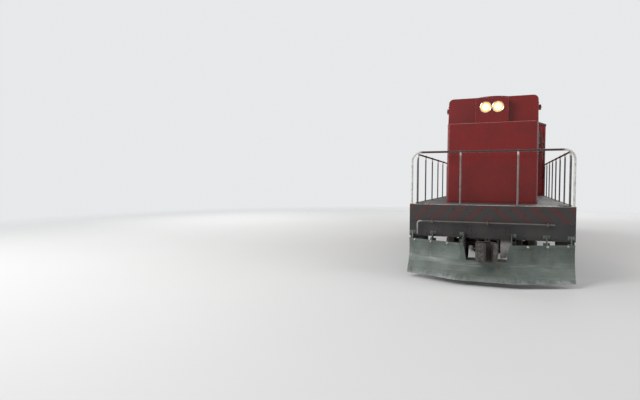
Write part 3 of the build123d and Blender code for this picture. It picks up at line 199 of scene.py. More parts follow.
# Studio light: a pale world and five large soft panels, two at the front left and one at each side
# and behind, bright enough that a colour looks about as it is written and no pale surface clips.
# Light that falls on things comes from a dimmer world than what is seen, mirrored or looked through.
background = (0.80, 0.81, 0.82, 1.0)
world_light = 0.46
world = bpy.data.worlds.new("studio_world")
bpy.context.scene.world = world
world.use_nodes = True
sky = world.node_tree.nodes
link = world.node_tree.links.new
rays, strength = sky.new("ShaderNodeLightPath"), sky.new("ShaderNodeMapRange")
passed, seen = sky.new("ShaderNodeMath"), sky.new("ShaderNodeMath")
passed.operation = seen.operation = "MAXIMUM"
link(rays.outputs["Is Glossy Ray"], passed.inputs[0])
link(rays.outputs["Is Transmission Ray"], passed.inputs[1])
link(rays.outputs["Is Camera Ray"], seen.inputs[0])
link(passed.outputs[0], seen.inputs[1])
link(seen.outputs[0], strength.inputs["Value"])
strength.inputs["To Min"].default_value = world_light
sky["Background"].inputs["Color"].default_value = background
link(strength.outputs[0], sky["Background"].inputs["Strength"])
panels = [  # name, place, what it points at, side length in metres, power in watts
    ("key_panel", (-9.5, -15.0, 9.5), (0.0, -2.0, 1.5), 7.0, 1150.0),
    ("low_panel", (-16.0, -11.0, 4.6), (-0.8, -4.0, 2.0), 4.5, 560.0),
    ("left_panel", (-13.0, 5.0, 8.0), (0.0, 1.0, 1.5), 9.0, 700.0),
    ("right_panel", (13.0, -3.0, 7.5), (0.0, -1.0, 1.5), 9.0, 780.0),
    ("rear_panel", (3.0, 16.0, 9.0), (0.0, 3.0, 1.5), 8.0, 780.0),
]
for name, place, target, side_length, power in panels:
    lamp = bpy.data.lights.new(name, "AREA")
    lamp.shape = "SQUARE"
    lamp.size = side_length
    lamp.energy = power
    panel = placed(name, lamp)
    panel.location = place
    panel.rotation_euler = (Vector(target) - Vector(place)).to_track_quat("-Z", "Y").to_euler()

# Camera: eye height, in front of the plough and a little to its left, turned so far to the left
# that the locomotive stands at the right of the frame, as the photograph shows it.
turned_left = 0.3853
looking_down = 0.0385
rolled = 0.0034
lens = bpy.data.cameras.new("camera")
lens.sensor_width = 36.0
lens.lens = 26.17
lens.clip_end = 300.0
camera = placed("camera", lens)
camera.location = (0.316, -13.3115, 1.615)
upright = Matrix.Rotation(turned_left, 3, "Z") @ Matrix.Rotation(math.pi / 2 - looking_down, 3, "X")
camera.rotation_euler = (upright @ Matrix.Rotation(rolled, 3, "Z")).to_euler()
bpy.context.scene.camera = camera

# Hood and its nose: welded steel plate boxes bolted down to the deck, painted a deep gloss red.
# The paint is worn to dark steel at the edges, streaked below the roof and dusty near the deck.
hood_half_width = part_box("hood_right_side")[1].x - 0.0181
deck_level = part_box("deck")[1].z
bare_steel = (0.085, 0.075, 0.068)
road_dirt = (0.060, 0.052, 0.044)
dust = (0.30, 0.27, 0.24)
rust = (0.150, 0.052, 0.020)
worst_misfill = 0.0001
narrowest_edge = 0.0002


def weathered(name, slot, paint, faded, gloss, worn, dirty, rusty, dirt_height, **constants):
    """Brushed or sprayed paint on plate steel: cloudy fading, chips and rubbed edges down to dark metal,
    rain streaks on upright faces, rust beside the chips, road dirt that thins out upward and dust on top."""
    finish = Finish(name, slot, **constants)
    upright = 1 - abs(finish.facing(2))
    clouds = finish.noise(1.7, 4.0, 0.6)
    streaks = finish.noise(3.4, 4.0, 0.55, (5.0, 5.0, 0.22)).rise(0.56, 0.84) * upright * dirty
    low_down = (1 - finish.axes()[2] / dirt_height).rise(0.0, 1.0)
    splash = low_down * finish.noise(3.3, 5.0, 0.65).rise(0.25, 0.75)
    settled = finish.facing(2).rise(0.55, 0.98) * finish.noise(2.4, 4.0).rise(0.2, 0.8)
    edge = finish.edges(0.007) * finish.noise(21.0, 4.0, 0.7).rise(0.42, 0.60)
    chips = finish.noise(34.0, 5.0, 0.72).rise(0.735, 0.755) * 0.8
    bare = (edge.math("MAXIMUM", chips) * worn).least(1.0)
    bleed = finish.noise(13.0, 4.0, 0.7, (1.0, 1.0, 0.35)).rise(0.60, 0.74) * rusty
    colour = finish.mix(clouds.rise(0.38, 0.72), paint, faded, (streaks * 0.40, road_dirt),
                        (splash * dirty, road_dirt), (settled * dirty * 0.45, dust), (bleed, rust),
                        (bare, bare_steel))
    dull = (streaks + splash * dirty + settled * dirty).least(1.0) * 0.38
    roughness = gloss + clouds * 0.10 + dull + bare * 0.22 + bleed * 0.25
    finish.surface(colour, roughness.least(0.92), bare * 0.7)
    finish.dents(finish.noise(160.0, 2.0) * 0.10 + clouds * 2.2 - bare * 0.9, 0.0006)
    return finish


def finished(name, mesh, finish, body, smooth):
    """The object of a mesh: one finish, smooth but for edges sharper than smooth degrees, on its body."""
    mesh.name = name
    mesh.materials.clear()
    mesh.materials.append(finish.material)
    mesh.shade_smooth()
    mesh.set_sharp_from_angle(angle=math.radians(smooth))
    made = placed(name, mesh)
    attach(made, body)
    return made


def misfill(made):
    """How far the triangles of an object's worst face exceed the face: the sum of their areas less the
    outline's own area, which grows where a rounded outline crosses itself."""
    mesh = made.evaluated_get(bpy.context.evaluated_depsgraph_get()).to_mesh()
    mesh.calc_loop_triangles()
    areas, owners = np.zeros(len(mesh.loop_triangles)), np.zeros(len(mesh.loop_triangles), int)
    outlines = np.zeros(len(mesh.polygons))
    mesh.loop_triangles.foreach_get("area", areas)
    mesh.loop_triangles.foreach_get("polygon_index", owners)
    mesh.polygons.foreach_get("area", outlines)
    return (np.bincount(owners, areas, len(outlines)) - outlines).max()


def copied(node, finish, bevel, smooth=35.0):
    """A CAD node's own mesh, merged and cleared of its inner triangle edges, with small rounded edges
    that narrow until no face is filled wrongly. It replaces the node and rides on the same body."""
    mesh = frame["nodes"][node].data.copy()
    work = bmesh.new()
    work.from_mesh(mesh)
    bmesh.ops.remove_doubles(work, verts=work.verts, dist=0.00002)
    bmesh.ops.dissolve_limit(work, angle_limit=math.radians(0.6), verts=work.verts, edges=work.edges)
    work.to_mesh(mesh)
    work.free()
    made = finished(node + "_finished", mesh, finish, body_of[node], smooth)
    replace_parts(made, node)
    rounded = made.modifiers.new("rounded_edges", "BEVEL")
    rounded.width = bevel
    rounded.segments = 2
    rounded.limit_method = "ANGLE"
    rounded.angle_limit = math.radians(smooth)
    while misfill(made) > worst_misfill and rounded.width > narrowest_edge:
        rounded.width *= 0.7
    levelled = made.modifiers.new("levelled_normals", "WEIGHTED_NORMAL")
    levelled.weight = 100
    levelled.keep_sharp = True


body_red = weathered("body_red_paint", "body_red", (0.205, 0.010, 0.009), (0.150, 0.010, 0.009), 0.22,
                     0.9, 0.5, 0.10, 1.9, Specular_IOR_Level=0.30, Coat_Weight=0.12, Coat_Roughness=0.10)
for node in ("hood_nose", "hood_left_side", "hood_right_side"):
    copied(node, body_red, 0.004)

# Hood trim: rolled beads, bolted seam straps and removable side panels with pressed louvres.
# All are thin steel pressings in the hood's own paint, screwed to the plate from outside.
panel_proud = 0.0035
panel_start, panel_pitch, panel_width = -0.790, 0.885, 0.820
panel_bottom, panel_top = deck_level + 0.150, deck_level + 1.640
panel_margin = 0.028
louvre_pitch, louvre_width, louvre_reach = 0.052, 0.320, 0.185
rim_bolt_pitch, base_bolt_pitch, strap_bolt_pitch = 0.125, 0.247, 0.145
grip_levels, grip_half = (panel_bottom + 0.30, panel_top - 0.15), 0.07


def joined(shapes):
    """Several shapes as one: their points stacked, their face numbers moved on by the points before."""
    points, faces, count = [], [], 0
    for shape_points, shape_faces in shapes:
        points.append(shape_points)
        faces.extend(block + count for block in shape_faces)
        count += len(shape_points)
    return np.concatenate(points), faces


def mirrored(shapes):
    """Shapes and their images across the middle of the locomotive."""
    points, faces = joined(shapes)
    return [(points, faces), (points * (-1, 1, 1), [block[:, ::-1] for block in faces])]


def repeated(shape, places):
    """A shape at each place: every point plus every place, with face numbers moved on copy by copy."""
    points, faces = shape
    places = np.asarray(places, float).reshape(-1, 3)
    steps = np.arange(len(places)) * len(points)
    many = (points[None] + places[:, None]).reshape(-1, 3)
    return many, [(block[None] + steps[:, None, None]).reshape(-1, block.shape[1]) for block in faces]


def loops(points, capped=True):
    """Rings of points (rings, points round, 3) skinned with quads, and closed at both ends if capped."""
    rings, around = points.shape[:2]
    ring, step = np.meshgrid(np.arange(rings - 1), np.arange(around), indexing="ij")
    near, beside = ring * around + step, ring * around + (step + 1) % around
    quads = np.stack([near, beside, beside + around, near + around], -1).reshape(-1, 4)
    ends = np.stack([np.arange(around)[::-1], np.arange(around) + (rings - 1) * around])
    return points.reshape(-1, 3), [quads, ends] if capped else [quads]


def at_x(x, places):
    """Points at one distance across the locomotive, for rows of (y, z) places."""
    places = np.asarray(places, float)
    return np.column_stack([np.full(len(places), x), places])


def grid(*axes):
    """Every place whose coordinates come from the given lists, or from a number where one is the same."""
    return np.stack(np.meshgrid(*axes, indexing="ij"), -1).reshape(-1, len(axes))


def spread(middle, reach, count=2):
    """Numbers evenly spaced round a middle, as far as a reach to both sides."""
    return np.linspace(middle - reach, middle + reach, count)


def circle(first, second, count, start=0.0):
    """Points round a circle of radius one: cosine times one direction plus sine times another."""
    turn = start + np.arange(count)[:, None] * 2 * np.pi / count
    return np.cos(turn) * first + np.sin(turn) * second


def turned(profile, places, axis=(0, 0, 1), sides=24):
    """A profile of (radius, height) turned round an axis: height along it plus radius times a circle
    across it; the first and last rings are closed, and one copy stands at each place."""
    radius, height = np.asarray(profile, float).T[..., None, None]
    axis = np.asarray(axis, float) / np.linalg.norm(axis)
    first = np.cross((0.0, 0.0, 1.0) if abs(axis[2]) < 0.9 else (1.0, 0.0, 0.0), axis)
    first /= np.linalg.norm(first)
    return repeated(loops(radius * circle(first, np.cross(axis, first), sides) + height * axis), places)


def slabs(centres, sizes, chamfer):
    """Boxes with cut corners: an eight-sided ring at four heights, drawn in by the chamfer at both ends,
    which stays under a fifth of the thinnest side."""
    centres = np.asarray(centres, float).reshape(-1, 1, 1, 3)
    halves = np.broadcast_to(np.asarray(sizes, float) / 2, (len(centres), 3)).reshape(-1, 1, 1, 3)
    chamfer = min(chamfer, 0.4 * halves.min())
    corner = np.array([[1, 1], [1, 1], [-1, 1], [-1, 1], [-1, -1], [-1, -1], [1, -1], [1, -1]], float)
    cut = np.array([[0, 1], [1, 0], [1, 0], [0, 1], [0, 1], [1, 0], [1, 0], [0, 1]], float) * chamfer
    drawn_in = np.array([1.0, 0.0, 0.0, 1.0])[None, :, None, None] * chamfer
    level = np.array([[-1, 0], [-1, 1], [1, -1], [1, 0]], float)[None, :, None, :]
    flat = corner * (halves[..., :2] - cut - drawn_in)
    height = np.broadcast_to(level[..., 0] * halves[..., 2] + level[..., 1] * chamfer, flat.shape[:3])
    points = np.concatenate([flat, height[..., None]], -1) + centres
    return points.reshape(-1, 3), repeated(loops(points[0]), np.zeros((len(points), 3)))[1]


def carried(path, radius, sides=10, up=(0, 0, 1)):
    """A round section carried along a path: the tangent is the difference of the neighbours, the section
    lies on the direction square to the tangent and up, and on the one square to both."""
    path = np.asarray(path, float)
    tangent = np.gradient(path, axis=0)
    tangent /= np.linalg.norm(tangent, axis=1)[:, None]
    side = np.cross(tangent, np.asarray(up, float))
    side /= np.linalg.norm(side, axis=1)[:, None]
    return loops(path[:, None] + radius * circle(side[:, None], np.cross(side, tangent)[:, None], sides))


def rounded_path(corners, radius, steps=7):
    """Straight runs through corners with each corner replaced by a quadratic curve between the points
    that lie one radius before and after it."""
    corners = np.asarray(corners, float)
    parts = [corners[:1]]
    share = np.linspace(0.0, 1.0, steps)[:, None]
    for before, corner, after in zip(corners[:-2], corners[1:-1], corners[2:]):
        enter = corner + (before - corner) / np.linalg.norm(before - corner) * radius
        leave = corner + (after - corner) / np.linalg.norm(after - corner) * radius
        parts.append((1 - share) ** 2 * enter + 2 * share * (1 - share) * corner + share ** 2 * leave)
    return np.concatenate([*parts, corners[-1:]])


def bolts(places, axis, size, height):
    """Hexagon bolt heads on round washers, one at each place, standing along the axis."""
    head = turned([(size, 0.0), (size, height * 0.75), (size * 0.84, height)], places, axis, 6)
    return joined([head, turned([(size * 1.45, -0.0005), (size * 1.45, height * 0.22)], places, axis, 12)])


def frame_places(low, high, pitch):
    """Places round a rectangle from its low to its high corner, evenly spaced near a pitch on each side."""
    (low_a, low_b), (high_a, high_b) = low, high
    along = np.linspace(low_a, high_a, max(2, round((high_a - low_a) / pitch) + 1))
    up = np.linspace(low_b, high_b, max(2, round((high_b - low_b) / pitch) + 1))[1:-1]
    level = [(a, b) for a in along for b in (low_b, high_b)]
    return np.array(level + [(a, b) for b in up for a in (low_a, high_a)])


def louvres(places, side, width, height=0.034, depth=0.011):
    """Pressed louvres on an upright wall: across the width the bulge is the fourth root of one less the
    eighth power, and down the height it swells as a sine from the top seam to a sharp lower lip."""
    across = np.linspace(-1.0, 1.0, 15)[:, None]
    down = np.linspace(0.0, 1.0, 6)
    drop = np.concatenate([height * (0.5 - down * 0.86), [-height * 0.5, -height * 0.42]])
    bulge = np.concatenate([depth * np.sin(down * np.pi / 2), [depth * 0.86, -0.0015]])
    reach = np.where(bulge > 0, bulge * (1 - across ** 8) ** 0.25, bulge)
    points = np.broadcast_arrays(side * reach, across * width / 2, drop)
    return repeated(loops(np.stack(points, -1)), places)


def handle(feet, outward, reach, radius, sides=10):
    """A bar bent to a staple: out from one foot, across, and back to the other."""
    feet = np.asarray(feet, float)
    corners = [feet[0], *(feet + reach * np.array(outward)), feet[1]]
    return carried(rounded_path(corners, reach * 0.55), radius, sides, np.cross(outward, feet[1] - feet[0]))


def build(name, shapes, finish, body="root", smooth=35.0):
    """The object of some shapes, with doubles merged and faces turned outward."""
    points, faces = joined(shapes)
    mesh = bpy.data.meshes.new(name)
    mesh.from_pydata(points.tolist(), [], [corners for block in faces for corners in block.tolist()])
    work = bmesh.new()
    work.from_mesh(mesh)
    bmesh.ops.remove_doubles(work, verts=work.verts, dist=0.00001)
    bmesh.ops.recalc_face_normals(work, faces=work.faces)
    work.to_mesh(mesh)
    work.free()
    return finished(name, mesh, finish, body, smooth)


nose_low, nose_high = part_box("hood_nose")
nose_face = nose_low.y
cab_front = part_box("cab_front_wall")[0].y
seam_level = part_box("hood_right_side")[1].z
panel_middle, panel_height = (panel_bottom + panel_top) / 2, panel_top - panel_bottom
base_length, base_middle = cab_front - nose_face - 0.082, (cab_front + nose_face) / 2 + 0.03
strap_middle, strap_height = (deck_level + 0.075 + seam_level) / 2, seam_level - deck_level - 0.10
lug_level = seam_level - 0.055
lug_eye = [(0.019, -0.012), (0.024, -0.009), (0.024, 0.009), (0.019, 0.012)]
face, skin, outward = hood_half_width, hood_half_width + panel_proud, (1, 0, 0)
louvre_zs = panel_top - 0.30 - np.arange(9) * louvre_pitch
base_bolt_ys = np.arange(nose_face + 0.16, cab_front - 0.05, base_bolt_pitch)
strap_bolt_zs = np.arange(deck_level + 0.14, seam_level - 0.04, strap_bolt_pitch)
bead_ys = np.linspace(nose_face + 0.20, cab_front - 0.02, 3)
parts = [
    slabs((face + 0.004, base_middle, deck_level + 0.031), (0.008, base_length, 0.060), 0.002),
    bolts(grid(face + 0.008, base_bolt_ys, deck_level + 0.036), outward, 0.012, 0.010),
    carried(grid(face, bead_ys, seam_level), 0.009, 12),
]
for panel_y in panel_start + np.arange(3) * panel_pitch:
    middle = panel_y + panel_width / 2
    rim = frame_places((panel_y + panel_margin, panel_bottom + panel_margin),
                       (panel_y + panel_width - panel_margin, panel_top - panel_margin), rim_bolt_pitch)
    parts += [
        slabs((face, middle, panel_middle), (2 * panel_proud, panel_width, panel_height), 0.0015),
        bolts(at_x(skin, rim), outward, 0.009, 0.007),
        louvres(grid(skin, spread(middle, louvre_reach), louvre_zs), 1, louvre_width),
    ]
    for grip_z in grip_levels:
        parts.append(handle(grid(skin, spread(middle, grip_half), grip_z), outward, 0.045, 0.007))
for strap_y in (nose_high.y, panel_start - 0.035):
    parts.append(slabs((face + 0.002, strap_y, strap_middle), (0.006, 0.052, strap_height), 0.0015))
    parts.append(bolts(grid(face + 0.005, strap_y, strap_bolt_zs), outward, 0.008, 0.006))
lugs = [(lug_y, lug_level) for lug_y in (nose_face + 0.40, cab_front - 0.52)]
right, left = mirrored(parts + [
    slabs(at_x(face + 0.026, lugs), (0.052, 0.016, 0.100), 0.003),
    slabs(at_x(face + 0.004, lugs), (0.008, 0.110, 0.130), 0.002),
    turned(lug_eye, at_x(face + 0.036, lugs), (0, 1, 0), 16),
])
build("hood_left_trim", [left], body_red)
build("hood_right_trim", [right], body_red)
foot_bolts = grid(spread(0.0, hood_half_width - 0.10, 8), nose_face - 0.007, deck_level + 0.034)
build("hood_nose_trim", [
    slabs((0.0, nose_face - 0.002, deck_level + 0.031), (2 * hood_half_width - 0.13, 0.010, 0.060), 0.002),
    bolts(foot_bolts, (0, -1, 0), 0.012, 0.010),
], body_red)

# Ledge bead: a half-round steel moulding along the nose's ledge below the headlight, welded to the plate. It
# is painted paler than the plate: a painted highlight along the ledge.
ledge_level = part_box("headlights")[0].z
ledge_reach = hood_half_width - 0.045
# The bead's paler red is a painted highlight along the ledge.
ledge_highlight_red = weathered("ledge_highlight_red_paint", "body_red", (0.30, 0.060, 0.050), (0.36, 0.150, 0.125), 0.34,
                       0.9, 0.3, 0.05, 1.9)
ledge_line = grid(spread(0.0, ledge_reach, 3), nose_face + 0.004, ledge_level)
build("nose_ledge_bead", [carried(ledge_line, 0.0085, 12)], ledge_highlight_red)

# Hood doors: flush steel leaves, each with a bank of pressed louvres below and above the latch.
# They hang on three hinges and close on a lever latch, in the same paint as the hood.
door_louvre_pitch, louvre_margin, stiffener_reach = 0.050, 0.12, 0.17
for side_name, side in (("left", -1), ("right", 1)):
    face = side * hood_half_width
    for number in range(1, 5):
        node = f"hood_door_{side_name}_{number}"
        copied(node, body_red, 0.0025)
        low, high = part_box(node)
        middle, latch_level = (low.y + high.y) / 2, (low.z + high.z) / 2
        rows = louvre_margin + np.arange(8) * door_louvre_pitch
        stiffeners = grid(face + side * 0.002, middle, spread(latch_level, stiffener_reach))
        build(f"{node}_louvres", [
            louvres(grid(face, middle, [*(high.z - rows), *(low.z + rows)]), side, 0.300),
            slabs(stiffeners, (0.006, 0.330, 0.012), 0.0015),
        ], body_red, node)

# Radiator cores: flat brass tubes soldered through a stack of thin copper fins, painted dull black,
# in a steel flange bolted to the hood side from inside. They show between the intake's slats.
core_black = Finish("radiator_black", "radiator_metal", Roughness=0.6)
_, core_y, core_z = core_black.axes()
core_low, core_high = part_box("radiator_cores")
core_margin = 0.040
fin_pitch, tube_pitch = 0.0058, 0.0240
fins = (core_z * (2 * math.pi / fin_pitch)).math("SINE") * 0.5 + 0.5
tubes = (core_y * (2 * math.pi / tube_pitch)).math("SINE").rise(0.55, 0.85)
finned = core_y.rise(core_low.y + core_margin - 0.002, core_low.y + core_margin) \
    * core_y.rise(core_high.y - core_margin + 0.002, core_high.y - core_margin)
fouling = core_black.noise(7.0, 4.0, 0.6).rise(0.35, 0.70)
colour = core_black.mix(fouling, (0.050, 0.050, 0.052), (0.085, 0.074, 0.060),
                        (fins * finned * 0.75, (0.012, 0.012, 0.012)),
                        (tubes * finned * 0.6, (0.105, 0.090, 0.062)))
core_black.surface(colour, fouling * 0.25 + 0.5)
core_black.dents((fins + tubes * 1.5) * finned, 0.0012)
copied("radiator_cores", core_black, 0.001)

# Hood roof: a rolled sheet with bolted hatches over the engine, the fan well with its guard, and
# lifting handles. It wears the hood's red.
copied("hood_roof", body_red, 0.004)
roof_level = nose_high.z
hatch_top = roof_level + 0.018
hatch_half_width, hatch_margin, hatch_bolt_pitch = 0.54, 0.030, 0.135
grip_reach, hatch_grip_half = 0.36, 0.05
parts = []
for hatch_y, hatch_length in ((-2.30, 0.80), (-0.38, 0.66), (0.40, 0.66), (1.18, 0.66)):
    corner = np.array([hatch_half_width, hatch_length / 2]) - hatch_margin
    hatch_size = (2 * hatch_half_width, hatch_length, 0.024)
    rim = frame_places((0, hatch_y) - corner, (0, hatch_y) + corner, hatch_bolt_pitch)
    heads = [(x, y, hatch_top) for x, y in rim]
    parts.append(slabs((0.0, hatch_y, roof_level + 0.006), hatch_size, 0.004))
    parts.append(bolts(heads, (0, 0, 1), 0.009, 0.007))
    for x in (-grip_reach, grip_reach):
        parts.append(handle(grid(spread(x, hatch_grip_half), hatch_y, hatch_top), (0, 0, 1), 0.040, 0.008))
build("roof_hatches", parts, body_red)

# Radiator fan: six pitched steel blades on a hub, spun below the wire guard in the roof well.
fan_paint = weathered("fan_paint", "engine_paint", (0.10, 0.105, 0.105), (0.16, 0.16, 0.155), 0.5, 0.7,
                      0.5, 0.3, 0.5)
copied("radiator_fan", fan_paint, 0.0015)

# Exhaust stack and horns: a short welded steel pipe, scorched brown and black by heat, and three
# brass trumpets on a cast base beside the cab.
soot = Finish("scorched_steel", "stack_steel", Roughness=0.8)
heat = soot.axes()[2].rise(roof_level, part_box("exhaust_stack")[1].z)
blotches = soot.noise(9.0, 5.0, 0.7)
colour = soot.mix(blotches.rise(0.35, 0.65), (0.10, 0.055, 0.035), (0.055, 0.045, 0.040),
                  (heat * 0.85, (0.018, 0.017, 0.016)))
soot.surface(colour, blotches * 0.2 + 0.62, 0.35)
soot.dents(soot.noise(90.0, 3.0), 0.0006)
copied("exhaust_stack", soot, 0.002)
brass = Finish("horn_brass_aged", "horn_brass", Metallic=1.0)
tarnish = brass.noise(14.0, 5.0, 0.65).rise(0.40, 0.68)
brass.surface(brass.mix(tarnish, (0.62, 0.43, 0.16), (0.26, 0.17, 0.08)), tarnish * 0.28 + 0.26)
brass.dents(brass.noise(70.0), 0.0002)
copied("air_horn", brass, 0.001, 40.0)

# Headlights: twin sealed lamps in a steel box on the nose and on the cab's rear, each behind a pressed
# bezel ring with four screws. The lamps are lit, near white in the middle and amber at the rim.
lamp_gap, lamp_radius, bezel_radius = 0.107, 0.084, 0.104
lamp_low, lamp_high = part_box("headlight_lamps")
front_level, rear_level = lamp_low.z + bezel_radius, lamp_high.z - bezel_radius
copied("headlights", body_red, 0.004)
glow = Finish("lamp_glow", "lamp", Roughness=0.12, Emission_Strength=2.1)
lamp_x, lamp_y, lamp_z = glow.axes()
off_x = abs(lamp_x) - lamp_gap
off_z = lamp_z - (lamp_y.rise(0.5, -0.5) * (front_level - rear_level) + rear_level)
rim_share = off_x.distance(off_z).rise(lamp_radius * 0.25, lamp_radius * 0.98)
glow.surface(glow.mix(rim_share, (0.95, 0.85, 0.70), (0.55, 0.30, 0.12)))
glow.feed(glow.shader.inputs["Emission Color"], glow.mix(rim_share, (1.0, 0.80, 0.50), (1.0, 0.30, 0.045)))
glow.dents((off_x * 900.0).math("SINE") * 0.5 + 0.5, 0.0008)
chrome = Finish("lamp_rim_chrome", "lamp", Metallic=1.0, Roughness=0.16)
wiped = chrome.noise(30.0, 3.0).rise(0.4, 0.7)
chrome.surface(chrome.mix(wiped, (0.62, 0.62, 0.62), (0.42, 0.41, 0.40)), wiped * 0.15 + 0.12)
lens_profile = lamp_radius * np.array([1.0, 1.0, 0.86, 0.62, 0.34, 0.12])
lens_profile = np.column_stack([lens_profile, [-0.012, 0.000, 0.0065, 0.0115, 0.0150, 0.0165]])
rim_profile = bezel_radius * np.array([1.0, 1.0, 0.985, 0.93, 0.87, 0.83, 0.81])
rim_profile = np.column_stack([rim_profile, [-0.012, 0.010, 0.014, 0.016, 0.013, 0.004, -0.006]])
screw_ring = bezel_radius * 0.925 * circle((1, 0, 0), (0, 0, 1), 4, math.pi / 4)
lenses, rims = [], []
for way, face, level in ((-1, lamp_low.y, front_level), (1, lamp_high.y, rear_level)):
    for x in (-lamp_gap, lamp_gap):
        lenses.append(turned(lens_profile, (x, face - way * 0.016, level), (0, way, 0), 40))
        screws = screw_ring + (x, face - way * 0.002, level)
        rims.append(turned(rim_profile, (x, face - way * 0.016, level), (0, way, 0), 40))
        rims.append(turned([(0.005, -0.004), (0.005, 0.0008), (0.0035, 0.0018)], screws, (0, way, 0), 8))
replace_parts(build("headlight_lenses", lenses, glow), "headlight_lamps")
build("headlight_rims", rims, chrome)

# Engine: one closed block under the hood, a cast and plated diesel in grey-green enamel.
# Its covers, cylinder heads and manifold show when the side doors stand open.
engine_grey = weathered("engine_enamel", "engine_paint", (0.185, 0.205, 0.195), (0.13, 0.14, 0.13), 0.36,
                        0.5, 0.65, 0.2, 2.0)
copied("engine_block", engine_grey, 0.012)
engine_low, engine_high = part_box("engine_block")
parts = []
for head_y in np.linspace(engine_low.y + 0.30, engine_high.y - 0.30, 8):
    ring = frame_places((head_y - 0.14, engine_low.z + 0.27), (head_y + 0.14, engine_low.z + 0.57), 0.14)
    parts += [
        slabs((engine_high.x, head_y, engine_high.z - 0.26), (0.050, 0.36, 0.30), 0.012),
        slabs((engine_high.x, head_y, engine_low.z + 0.42), (0.030, 0.34, 0.36), 0.010),
        bolts(at_x(engine_high.x + 0.015, ring), (1, 0, 0), 0.010, 0.010),
    ]
manifold_ys = (engine_low.y + 0.10, 0.0, engine_high.y - 0.10)
parts.append(carried(grid(engine_high.x + 0.045, manifold_ys, engine_high.z - 0.06), 0.030, 16))
build("engine_covers", mirrored(parts), engine_grey)

# Cab shell: flat steel walls under a shallow arched roof, in the hood's red outside. The walls are
# welded at the corners and carry rain beads and sashes; the roof overhangs them all round.
# Its dark weatherproof paint keeps glare out of the driver's eyes.
cab_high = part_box("cab_side_walls")[1]
for node in ("cab_front_wall", "cab_rear_wall", "cab_side_walls"):
    copied(node, body_red, 0.004)
roof_dark = weathered("roof_paint_dark", "roof_paint", (0.058, 0.056, 0.055), (0.085, 0.080, 0.076), 0.48,
                      0.5, 0.45, 0.25, 0.2)
copied("cab_roof", roof_dark, 0.006)
for node in ("cab_front_door", "cab_rear_door"):
    copied(node, body_red, 0.003)

# Window sashes: black rubber glazing strip round each pane, held in a thin pressed aluminium frame.
# The doors' panes are single sheets of smeared glass in their own small frames.
rear_face = cab_high.y
door_half_depth = 0.0225
rubber_width, rubber_thickness, rubber_corner = 0.036, 0.012, 0.020
sash_width, sash_corner, sash_depth = 0.030, 0.016, 0.026
pane_gap = 0.002
rubber = Finish("glazing_rubber", "frame_black", Roughness=0.62)
perished = rubber.noise(18.0).rise(0.3, 0.7)
colour = rubber.mix(perished, (0.018, 0.018, 0.018), (0.045, 0.043, 0.040))
rubber.surface(colour, rubber.noise(40.0) * 0.25 + 0.5)
sash_metal = Finish("sash_aluminium", "window_glass", Metallic=0.9)
sash_stain = sash_metal.noise(9.0, 5.0, 0.7).rise(0.4, 0.72)
sash_metal.surface(sash_metal.mix(sash_stain, (0.52, 0.52, 0.51), (0.25, 0.24, 0.22)), sash_stain * 0.3 + 0.3)
sash_metal.dents(sash_metal.noise(200.0), 0.0002)
glass = Finish("window_glass", "window_glass", Roughness=0.04, Transmission_Weight=1.0, IOR=1.45)
glass.surface((0.86, 0.92, 0.90), glass.noise(5.0, 5.0, 0.6).rise(0.45, 0.85) * 0.10 + 0.03)
for place in frame["nodes"]["cab_windows"].material_slots:
    place.material = glass.material


def ring_frame(centre, size, width, thickness, outward, corner):
    """A flat frame round an opening: a rounded rectangle is laid down six times, at the outer and the
    inner edge and at the back and front face, and skinned round as a closed ring. The rectangle lies
    on the level direction along the wall and on the upward one."""
    turn = np.linspace(0.0, 2 * np.pi, 49)[:-1]
    rim = np.stack([np.cos(turn), np.sin(turn)], 1)
    half, back, low, front = width / 2, -thickness / 2, thickness * 0.3, thickness / 2
    inset = half - thickness * 0.2
    section = [(half, back), (half, low), (inset, front), (-inset, front), (-half, low), (-half, back)]
    section = np.array(section)
    flat = np.sign(rim) * (size / 2 - corner) + rim * (corner + section[:, 0])[:, None, None]
    level, depth = np.cross((0.0, 0.0, 1.0), outward), section[:, 1, None, None] * outward
    points = flat[..., :1] * level + flat[..., 1:] * (0.0, 0.0, 1.0) + depth + centre
    return loops(np.concatenate([points, points[:1]]), capped=False)


def window(name, span, way, plane, body="root", bars=0):
    """One window: rubber on the wall's face, a metal sash inside the opening, and upright bars between
    sliding panes. span gives its reach along the wall and in height, plane how far out the wall's face
    is. The shape of a pane in the middle of a door comes back."""
    (low_a, high_a), (low_z, high_z) = span
    outward = np.array(way, float)
    level = np.abs(np.cross((0, 0, 1), outward))
    middle = level * (low_a + high_a) / 2 + outward * plane + (0, 0, (low_z + high_z) / 2)
    size = np.array([high_a - low_a, high_z - low_z])
    inner = middle - outward * sash_depth
    strip = ring_frame(middle + outward * 0.002, size, rubber_width, rubber_thickness, outward, rubber_corner)
    sash = [ring_frame(inner, size - sash_width, sash_width, sash_width, outward, sash_corner)]
    bar_size = (level + np.abs(outward)) * sash_width + (0, 0, size[1] - 0.02)
    for bar in range(1, bars + 1):
        sash.append(slabs(inner + level * size[0] * (bar / (bars + 1) - 0.5), bar_size, 0.003))
    build(name + "_rubber", [strip], rubber, body)
    build(name + "_sash", sash, sash_metal, body)
    pane_size = level * (size[0] - pane_gap) + np.abs(outward) * 0.006 + (0, 0, size[1] - pane_gap)
    return slabs(middle - outward * door_half_depth, pane_size, 0.001)


